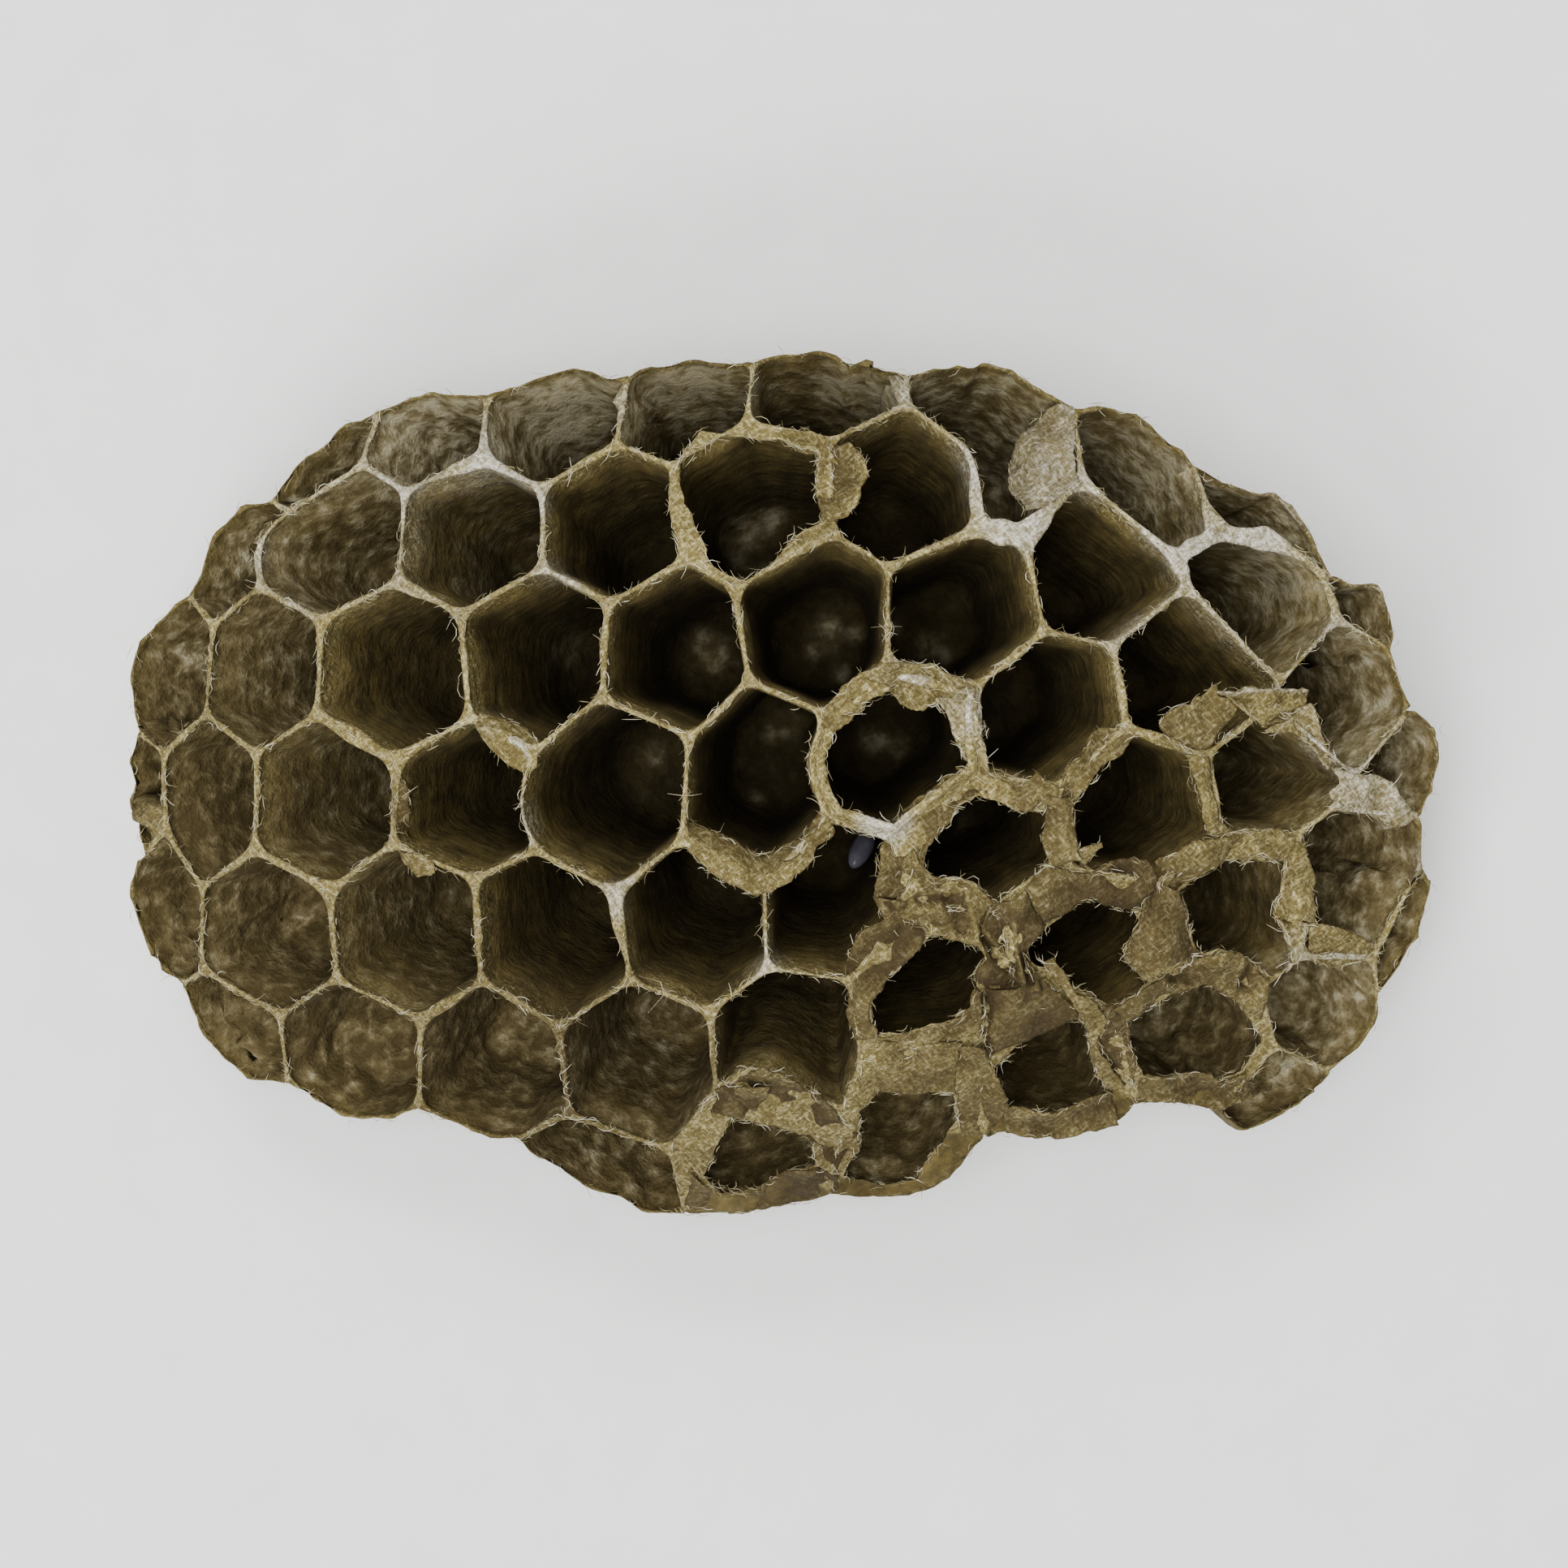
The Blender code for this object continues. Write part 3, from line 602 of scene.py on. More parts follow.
print("comb: rims")
faces = [addCellFace(cell) for cell in allCells]
centres = [meanOf([vert.co.copy() for vert in face.data.vertices]) for face in faces]
comb = joinAll(faces, "wovenPaperComb")
bpy.ops.object.mode_set(mode="EDIT")
bpy.ops.mesh.select_all(action="SELECT")
bpy.ops.mesh.remove_doubles(threshold=combForm["merge"])
bpy.ops.mesh.normals_make_consistent(inside=False)
net = bmesh.from_edit_mesh(comb.data)
if sum(face.normal.z for face in net.faces) < 0:
    bpy.ops.mesh.flip_normals()
bpy.ops.mesh.select_all(action="DESELECT")
bpy.ops.mesh.select_mode(type="EDGE")
gapPoints = rimPoints(*openRim, Vector((0, 0)), combForm["segments"]) + [cornerPoint(openRim[1])]
gapPlaces = [rimPlace(point) for point in gapPoints]
net = bmesh.from_edit_mesh(comb.data)
for edge in net.edges:
    ends = [min((vert.co - place).length for place in gapPlaces) for vert in edge.verts]
    edge.select_set(max(ends) < combForm["onRim"] and len(edge.link_faces) == 2)
bpy.ops.mesh.dissolve_edges(use_verts=True)
bpy.ops.mesh.select_mode(type="FACE")

net = bmesh.from_edit_mesh(comb.data)
net.faces.layers.int.new("cell")
for name in ("depthMm", "down", "edge", "cup", "outer"):
    net.verts.layers.float.new(name)
for vert in net.verts:
    vert[net.verts.layers.float["outer"]] = float(any(edge.is_boundary for edge in vert.link_edges))
cellLayer = net.faces.layers.int["cell"]
downLayer = net.verts.layers.float["down"]
for face in net.faces:
    middle = face.calc_center_median()
    face[cellLayer] = 1 + min(range(len(centres)), key=lambda number: (centres[number] - middle).length)
print("cells", len(net.faces), "rim points", len(net.verts))

print("comb: back and outer wall")
bpy.ops.mesh.select_all(action="SELECT")
bpy.ops.mesh.duplicate()
bpy.ops.mesh.flip_normals()
net = bmesh.from_edit_mesh(comb.data)
for face in net.faces:
    if face.select:
        face[cellLayer] = -face[cellLayer]
for vert in net.verts:
    if vert.select:
        vert.co = baseOf(vert.co) + Vector((0, 0, combForm["valley"]))
        vert[downLayer] = 1.0
bpy.ops.mesh.select_mode(type="EDGE")
bpy.ops.mesh.select_all(action="DESELECT")
for edge in net.edges:
    edge.select_set(edge.is_boundary)
bpy.ops.mesh.bridge_edge_loops(number_cuts=combForm["skirtRings"], interpolation="LINEAR")
bpy.ops.mesh.select_mode(type="FACE")
net = bmesh.from_edit_mesh(comb.data)
net.normal_update()
for face in net.faces:
    if len(face.verts) == 4:
        face[cellLayer] = 0
for vert in net.verts:
    down = vert[downLayer]
    if 0.01 < down < 0.99:
        out = Vector((vert.normal.x, vert.normal.y, 0)).normalized()
        bulge = combForm["skirtBulge"] * math.sin(math.pi * down)
        vert.co = crumpled(vert.co + out * bulge, combForm["skirtWaves"])
net.verts.index_update()
skirt = [[vert.index for vert in face.verts] for face in net.faces if face[cellLayer] == 0]
skin = BVHTree.FromPolygons([vert.co.copy() for vert in net.verts], skirt)


def feltShare(mesh, vert):  # the rims along the comb's edge carry less felt
    return 1 + (combForm["outerFelt"] - 1) * vert[mesh.verts.layers.float["outer"]]


def paintLayers(mesh):
    return [mesh.verts.layers.float[name] for name in ("depthMm", "edge", "cup")]


def ringValue(values, step):  # the rings past the last one named carry what it does
    return values[min(step, len(values) - 1)]


def sinkFaces(going, ringsOf, steps):  # extrudes each face by itself, ring after ring, and pokes the last
    bpy.ops.mesh.select_all(action="DESELECT")
    mesh = bmesh.from_edit_mesh(comb.data)
    layer = mesh.faces.layers.int["cell"]
    rims, rings, felts = {}, {}, {}
    for face in mesh.faces:
        number = face[layer]
        face.select_set(number > 0 if going == "down" else number < 0)
        if face.select:
            rims[number] = [vert.co.copy() for vert in face.verts]
            rings[number] = ringsOf(number, rims[number])
            felts[number] = [feltShare(mesh, vert) for vert in face.verts]
    for step in range(steps):
        bpy.ops.mesh.extrude_faces_move()
        mesh = bmesh.from_edit_mesh(comb.data)
        layer = mesh.faces.layers.int["cell"]
        depthLayer, edgeLayer, cupLayer = paintLayers(mesh)
        for face in mesh.faces:
            if not face.select:
                continue
            number = face[layer]
            deepest, most = combForm["blotchShares"]
            blotches = deepest + (most - deepest) * outerShare(centres[abs(number) - 1])
            torn = going == "down" and allCells[number - 1] in tornMouths
            for vert, top, place, felt in zip(face.verts, rims[number], rings[number][step], felts[number]):
                vert.co = place
                vert[cupLayer] = ringValue(ringBlotches, step) * blotches
                vert[depthLayer] = max(0, top.z - place.z) / mm if going == "down" else outside["backDepthMm"]
                vert[edgeLayer] = ringValue(ringFelt, step) * felt if going == "down" else 0
                if torn:
                    vert[edgeLayer] *= ringValue(tornFelt, step)
        bmesh.update_edit_mesh(comb.data)
    bpy.ops.mesh.poke()


def backBump(number, walls):
    middle = baseOf(centres[-number - 1])
    start, end = combForm["bumpRise"]
    rings = []
    for share in combForm["backRings"]:
        height = middle.z + combForm["valley"] * start - combForm["bump"] * (end - share)
        rings.append([crumpled(Vector((*middle.lerp(wall, share)[:2], height)), combForm["crumple"])
                      for wall in walls])
    return rings


net = bmesh.from_edit_mesh(comb.data)
depthLayer, edgeLayer, cupLayer = paintLayers(net)
for vert in net.verts:
    down = vert[net.verts.layers.float["down"]]
    vert[edgeLayer] = feltShare(net, vert) if down == 0 else 0.0
    vert[depthLayer] = down * outside["depthMm"]
    vert[cupLayer] = outside["cup"] if down > 0 else 0.0
foldRings = 2
steps = len(combForm["lipRings"]) + foldRings + combForm["wallRings"] + len(combForm["floorRings"])
sinkFaces("down", lambda number, walls: cellRings(allCells[number - 1], walls), steps)
sinkFaces("up", backBump, len(combForm["backRings"]))
bpy.ops.object.mode_set(mode="OBJECT")
bpy.ops.object.shade_smooth()
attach(comb, "root")
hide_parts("comb")
print("comb faces", len(comb.data.polygons), "triangles", triangles(comb))


def colour(code, alpha=1.0):  # an sRGB hex value as the linear colour that a shader takes
    parts = [int(code[start:start + 2], 16) / 255 for start in (1, 3, 5)]
    return (*[part / 12.92 if part <= 0.04045 else ((part + 0.055) / 1.055) ** 2.4 for part in parts], alpha)


def put(tree, kind, links={}, stops=None, **settings):  # one node, with its settings and what feeds it
    node = tree.nodes.new(kind)
    for name, value in settings.items():
        setattr(node, name, value)
    for socket, source in links.items():
        if isinstance(source, bpy.types.NodeSocket):
            tree.links.new(source, node.inputs[socket])
        else:
            node.inputs[socket].default_value = source
    if stops:
        elements = node.color_ramp.elements
        while len(elements) < len(stops):
            elements.new(1.0)
        for element, (position, shade) in zip(elements, stops):
            element.position = position
            element.color = colour(shade) if isinstance(shade, str) else (shade, shade, shade, 1)
    return node.outputs


def newMaterial(name):
    material = bpy.data.materials.new(name)
    material.use_nodes = True
    material.node_tree.nodes.clear()
    return material, material.node_tree


def maths(tree, way, *values):
    return put(tree, "ShaderNodeMath", dict(enumerate(values)), operation=way)[0]


def mapped(tree, source, low, high, lowest, highest, way="LINEAR"):
    return put(tree, "ShaderNodeMapRange", {0: source, 1: low, 2: high, 3: lowest, 4: highest},
               interpolation_type=way)[0]


def clouds(tree, place, scale, detail=2.0, roughness=0.5, distortion=0.0):
    return put(tree, "ShaderNodeTexNoise", {"Vector": place, "Scale": scale, "Detail": detail,
                                            "Roughness": roughness, "Distortion": distortion})["Fac"]


def ramp(tree, source, *stops):
    return put(tree, "ShaderNodeValToRGB", {0: source}, stops=stops)[0]


def mixed(tree, share, under, over, way="MIX"):
    return put(tree, "ShaderNodeMix", {0: share, 6: under, 7: over}, data_type="RGBA", blend_type=way)[2]


def painted(tree, name):  # a value that the points of a piece carry
    return put(tree, "ShaderNodeAttribute", attribute_name=name)["Fac"]


def objectPlace(tree):
    return put(tree, "ShaderNodeTexCoord")["Object"]


def finishMaterial(tree, sockets):
    shader = put(tree, "ShaderNodeBsdfPrincipled", sockets)
    put(tree, "ShaderNodeOutputMaterial", {0: shader[0]})


paperLook = {
    "rim": "#82774a",
    "rimLight": "#b9af7e",
    "rimWhite": "#efe8ca",
    "wall": "#6d6138",
    "wallDark": "#493f21",
    # deep: the colour the cells darken to, partly stained floors and partly painted shade deep in the cells
    "deep": "#1e1808",
    "pitPaperAndShade": "#40361f",
    # brown: of the browner paper, and of the painted shade that a tone below 0 carries
    "brown": "#2e2312",
    "bleached": ((0.34, "#7a725a"), (0.48, "#a8a28e"), (0.6, "#d3d0c6")),
    "patches": ((0.3, "#a49a88"), (0.5, "#d6cfc0"), (0.72, "#fffdf6")),
    "blotches": ((0.36, "#42381f"), (0.5, "#5c5135"), (0.6, "#796f52"), (0.74, "#aaa286")),
    "bands": (0.22, 1.5),  # how many to the mm, along the wall and down it: 0.3 to 0.8 mm wide
    "fibres": (1.6, 7.0),  # 0.05 mm thick, drawn 0.12 mm thick so that they show
    "stains": (1.3, 0.14),  # 0.5 to 1 mm wide
    "patchesPerMm": 0.42,
    "specksPerMm": 4.4,  # specks of 0.1 to 0.3 mm
    "pitsPerMm": 5.2,  # 0.05 mm wide, drawn 0.15 mm wide
    "blotchesPerMm": 1.2,
    "matFibre": (0.6, 0.12, 0.2),  # length, width and height in mm
    "matTurns": (35, -50),  # degrees
    "depthStainAndShade": (3.0, 15.0, 0.85),  # first and last depth in mm under the rim, and the most of it: stained floors, and painted shade deep in the cells
    "relief": 0.14 * mm,
    "perMetre": 1000,  # the colours are laid out in mm
}


# chewed wood fibre and spit laid in arcs: dry, dull and streaked along the rim, palest on the felted rims
def chewedPaper():
    look = paperLook
    material, tree = newMaterial("chewed wood paper")
    inMm = put(tree, "ShaderNodeVectorMath", {0: objectPlace(tree), 1: (look["perMetre"],) * 3},
               operation="MULTIPLY")[0]
    parts = put(tree, "ShaderNodeSeparateXYZ", {0: inMm})
    layers = ("depthMm", "tone", "edge", "cup", "cupPaleAndShade")
    depth, tone, edge, cup, cupPaleAndShade = [painted(tree, name) for name in layers]
    wavyDepth = maths(tree, "MULTIPLY_ADD", clouds(tree, inMm, 0.5), 1.4, depth)

    def wallNoise(rates, detail, roughness=0.5):  # noise drawn out along the wall or down it
        sources = (parts["X"], rates[0]), (parts["Y"], rates[0]), (wavyDepth, rates[1])
        stretched = {axis: maths(tree, "MULTIPLY", *source) for axis, source in enumerate(sources)}
        return clouds(tree, put(tree, "ShaderNodeCombineXYZ", stretched)[0], 1.0, detail, roughness)

    # growth bands, one for each load of pulp, then the fibres in them, then stains that run down the walls
    bands = wallNoise(look["bands"], 2.0)
    fibres = wallNoise(look["fibres"], 3.0, 0.65)
    stains = wallNoise(look["stains"], 3.0)
    banded = ramp(tree, bands, (0.22, look["wallDark"]), (0.78, look["wall"]))
    streaked = mixed(tree, 1.0, banded, ramp(tree, fibres, (0.3, 0.8), (0.75, 1.15)), "MULTIPLY")
    stained = mixed(tree, 1.0, streaked, ramp(tree, stains, (0.36, 0.7), (0.62, 1.3)), "MULTIPLY")
    # darker with depth: partly the stained floors, partly painted shade deep in the cells
    first, last, most = look["depthStainAndShade"]
    down = mapped(tree, depth, first, last, 0.0, most)
    wallToneAndDepthShade = mixed(tree, down, stained, colour(look["deep"]))
    # felt of the rim: specks under a mat of fibres that lie two ways, with pits between them painted dark, the
    # darker paper beneath and painted shade in them
    specks = clouds(tree, inMm, look["specksPerMm"], 4.0, 0.7, 0.6)
    mats = []
    for turn in look["matTurns"]:
        turned = put(tree, "ShaderNodeMapping", {"Vector": inMm, "Rotation": (0, 0, math.radians(turn)),
                                                 "Scale": look["matFibre"]}, vector_type="TEXTURE")[0]
        mats.append(clouds(tree, turned, 1.0))
    both = maths(tree, "ADD", maths(tree, "MAXIMUM", *mats), specks)
    felt = mapped(tree, both, 0.8, 1.32, 0.33, 0.68)
    feltTone = ramp(tree, felt, (0.3, look["wall"]), (0.46, look["rim"]), (0.6, look["rimLight"]),
                    (0.72, look["rimWhite"]))
    pittedAndShaded = mapped(tree, clouds(tree, inMm, look["pitsPerMm"]), 0.42, 0.3, 0.0, 0.75)
    rimTone = mixed(tree, pittedAndShaded, feltTone, colour(look["pitPaperAndShade"]))
    ragged = maths(tree, "MULTIPLY_ADD", felt, 0.5, edge)
    below = mapped(tree, ragged, 1.05, 0.42, 0.0, 1.0, "SMOOTHSTEP")
    body = mixed(tree, below, rimTone, wallToneAndDepthShade)
    # patches 1 to 3 mm across where the wasp changed from one wood to another
    patches = clouds(tree, inMm, look["patchesPerMm"], 4.0, 0.6)
    mottled = mixed(tree, 0.75, body, ramp(tree, patches, *look["patches"]), "MULTIPLY")
    # tone above 0 pales the felt: whiter paper, and painted highlights on ridges and raised sheets
    whiteShare = maths(tree, "MULTIPLY", maths(tree, "MULTIPLY", tone, edge), felt)
    paleness = mapped(tree, whiteShare, 0.02, 0.4, 0.0, 0.85)
    whitenedAndLit = mixed(tree, paleness, mottled, ramp(tree, felt, *look["bleached"]))
    # tone below 0 browns the paper: browner paper, and painted shade in the cracks, on sunken sheets and among
    # the torn paper
    brownedAndShaded = mixed(tree, mapped(tree, tone, 0.0, -1.0, 0.0, 0.9), whitenedAndLit, colour(look["brown"]))
    # blotches 0.4 to 1 mm across, spat pulp and silk: pale on brown in the shallow cups, faint on deep floors
    blobs = clouds(tree, inMm, look["blotchesPerMm"], 5.0, 0.6, 0.1)
    # the cups' tones shift the blotches paler or darker; in the torn cells the darker ones are painted shade
    # under the torn paper
    blotches = ramp(tree, maths(tree, "MULTIPLY_ADD", cupPaleAndShade, 0.11, blobs), *look["blotches"])
    surface = mixed(tree, maths(tree, "MULTIPLY", cup, 0.97), brownedAndShaded, blotches)
    layered = maths(tree, "MULTIPLY_ADD", fibres, 0.5, bands)
    layered = maths(tree, "MULTIPLY", layered, mapped(tree, cup, 0.0, 0.8, 1.0, 0.0))
    lumpy = maths(tree, "MULTIPLY_ADD", blobs, 2.8, layered)
    heights = maths(tree, "MULTIPLY_ADD", felt, 0.8, lumpy)
    bump = put(tree, "ShaderNodeBump", {"Strength": 0.7, "Distance": look["relief"], "Height": heights})[0]
    dull = mapped(tree, fibres, 0.3, 0.7, 0.92, 0.78)
    finishMaterial(tree, {"Base Color": surface, "Roughness": dull, "IOR": 1.45, "Specular IOR Level": 0.2,
                          "Normal": bump})
    return material


combPaper = chewedPaper()
comb.data.materials.clear()
comb.data.materials.append(combPaper)

print("egg")
egg = {
    "length": 2.4 * mm,
    "width": 1.134 * mm,
    "taper": 0.16,  # how much narrower the end is that is glued to the wall
    "point": (1061, 1047),
    "height": 5.5 * mm,
    "tilt": math.radians(50),
    "turn": math.radians(-28),
    "segments": 48,
}
shift = Vector((0.2245 * mm, 0.227 * mm, 0))  # brings the middle of the comb's box to the frame's middle
bpy.ops.object.select_all(action="DESELECT")
bpy.ops.mesh.primitive_uv_sphere_add(segments=egg["segments"], ring_count=egg["segments"] // 2, radius=0.5)
eggShell = bpy.context.object
eggShell.name = "paleEgg"
for vert in eggShell.data.vertices:
    width = egg["width"] * (1 - egg["taper"] * (vert.co.z + 0.5))
    vert.co = Vector((vert.co.x * width, vert.co.y * width, vert.co.z * egg["length"]))
flat = flatPlace(egg["point"]) * (1 + (dome["crownHeight"] - egg["height"]) / photo["viewDistance"])
eggShell.rotation_euler = (egg["tilt"], 0, egg["turn"])
eggShell.location = (flat.x, flat.y, egg["height"])
bpy.ops.object.transform_apply(location=True, rotation=True)
bpy.ops.object.shade_smooth()
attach(eggShell, "root")
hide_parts("egg")

# insect egg shell, a thin waxy skin over milky yolk: it glows a little and takes one soft highlight
eggSkin, tree = newMaterial("insect egg shell")
milk = ramp(tree, clouds(tree, objectPlace(tree), 1400.0, 3.0), (0.3, "#56545e"), (0.7, "#72707c"))
grain = clouds(tree, objectPlace(tree), 9000.0)
waxy = put(tree, "ShaderNodeBump", {"Strength": 0.3, "Distance": 0.01 * mm, "Height": grain})[0]
finishMaterial(tree, {"Base Color": milk, "Roughness": mapped(tree, grain, 0.3, 0.7, 0.28, 0.42), "IOR": 1.42,
                      "Subsurface Weight": 0.3, "Subsurface Scale": 0.3 * mm,
                      "Subsurface Radius": (1.0, 0.9, 0.8), "Normal": waxy})
eggShell.data.materials.append(eggSkin)

print("stalk root")
stalk = {
    "length": 14 * mm,
    "width": 10.5 * mm,
    "flare": 1.16,
    "top": 2.5 * mm,
    "rings": 7,
    "sides": 96,
    "insets": (0.03, 0.06, 0.09, 0.1, 0.1),  # rings in the cut face and in the hidden top, as shares
    "strands": 0.02,  # how far the strands along the stalk stand out
    "strandRate": (6, 0.7),  # around the stalk and along it
    "felt": 0.35,
    "darkness": (7, 5, 9),  # taken as a depth in mm: mean, spread, and how many changes around the stalk
}
bpy.ops.object.select_all(action="DESELECT")
bpy.ops.mesh.primitive_circle_add(vertices=stalk["sides"], radius=0.5, fill_type="NGON")
root = bpy.context.object
root.name = "stalkRoot"
bpy.ops.object.mode_set(mode="EDIT")
bpy.ops.mesh.flip_normals()
bpy.ops.mesh.select_all(action="SELECT")
bpy.ops.mesh.duplicate()
for step in range(stalk["rings"]):  # the wall, raised ring by ring from a copy of the cut face
    bpy.ops.mesh.extrude_region_move(TRANSFORM_OT_translate={"value": (0, 0, stalk["top"] / stalk["rings"])})
bpy.ops.mesh.select_all(action="SELECT")
bpy.ops.mesh.remove_doubles(threshold=combForm["merge"])
net = bmesh.from_edit_mesh(root.data)
for name in ("depthMm", "edge", "cup", "tone"):
    net.verts.layers.float.new(name)
bpy.ops.mesh.select_all(action="DESELECT")
for face in net.faces:
    face.select_set(len(face.verts) > 4)
for inset in stalk["insets"]:
    bpy.ops.mesh.inset(thickness=inset)
bpy.ops.mesh.poke()
net = bmesh.from_edit_mesh(root.data)
depthLayer, edgeLayer = [net.verts.layers.float[name] for name in ("depthMm", "edge")]
for vert in net.verts:
    up = vert.co.z / stalk["top"]
    reach = 1 + (stalk["flare"] - 1) * up ** 2
    turn = math.atan2(vert.co.y, vert.co.x)
    around = Vector((math.cos(turn), math.sin(turn), 0))
    strands = noise.noise(around * stalk["strandRate"][0] + Vector((0, 0, up * stalk["strandRate"][1])))
    reach *= 1 + stalk["strands"] * strands * math.hypot(vert.co.x, vert.co.y) / 0.5
    vert.co.x *= stalk["length"] * reach
    vert.co.y *= stalk["width"] * reach
    mean, spread, rate = stalk["darkness"]
    vert[depthLayer] = mean + spread * noise.noise(around * rate)
    vert[edgeLayer] = stalk["felt"] if up < 0.001 else 0.0
bpy.ops.mesh.select_all(action="SELECT")
bpy.ops.mesh.normals_make_consistent(inside=False)
bpy.ops.object.mode_set(mode="OBJECT")
root.data.materials.append(combPaper)
bpy.ops.object.shade_smooth_by_angle(angle=math.radians(40))
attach(root, "root")
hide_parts("comb")

print("torn and folded sheets")
sheetForm = {
    "spacing": 0.13 * mm,  # of the points on a sheet
    "fewest": (6, 4),  # points along a sheet and across it
    "thickness": 0.11 * mm,
    "browner": 0.5,  # than the whiteness that each is given
    "felt": 0.52,  # how much of the pale felt they carry
    "smoothFelt": 0.36,
    "feltVariety": 0.15,
    "relief": 0.5,  # painted light and shade of the folds: how much whiter a sheet is painted for each mm that it stands above the dome, and darker below it
    "reliefShadeLimits": (-0.35, 0.3),
    "crumples": ((1.3 * mm, 0.22 * mm), (0.45 * mm, 0.077 * mm)),  # size of the waves, and how high
    "ragged": 0.1 * mm,
    "raggedSizes": (0.9 * mm, 0.8 * mm),  # of the waves along the first edge and the last
    "fold": (1.8 * mm, 0.4, 0.8 * mm),  # size, height as a share of the sheet's width, and the most
    "sag": (0.15, 0.3 * mm),  # of a sheet with two rails: share of its width, and the most
}
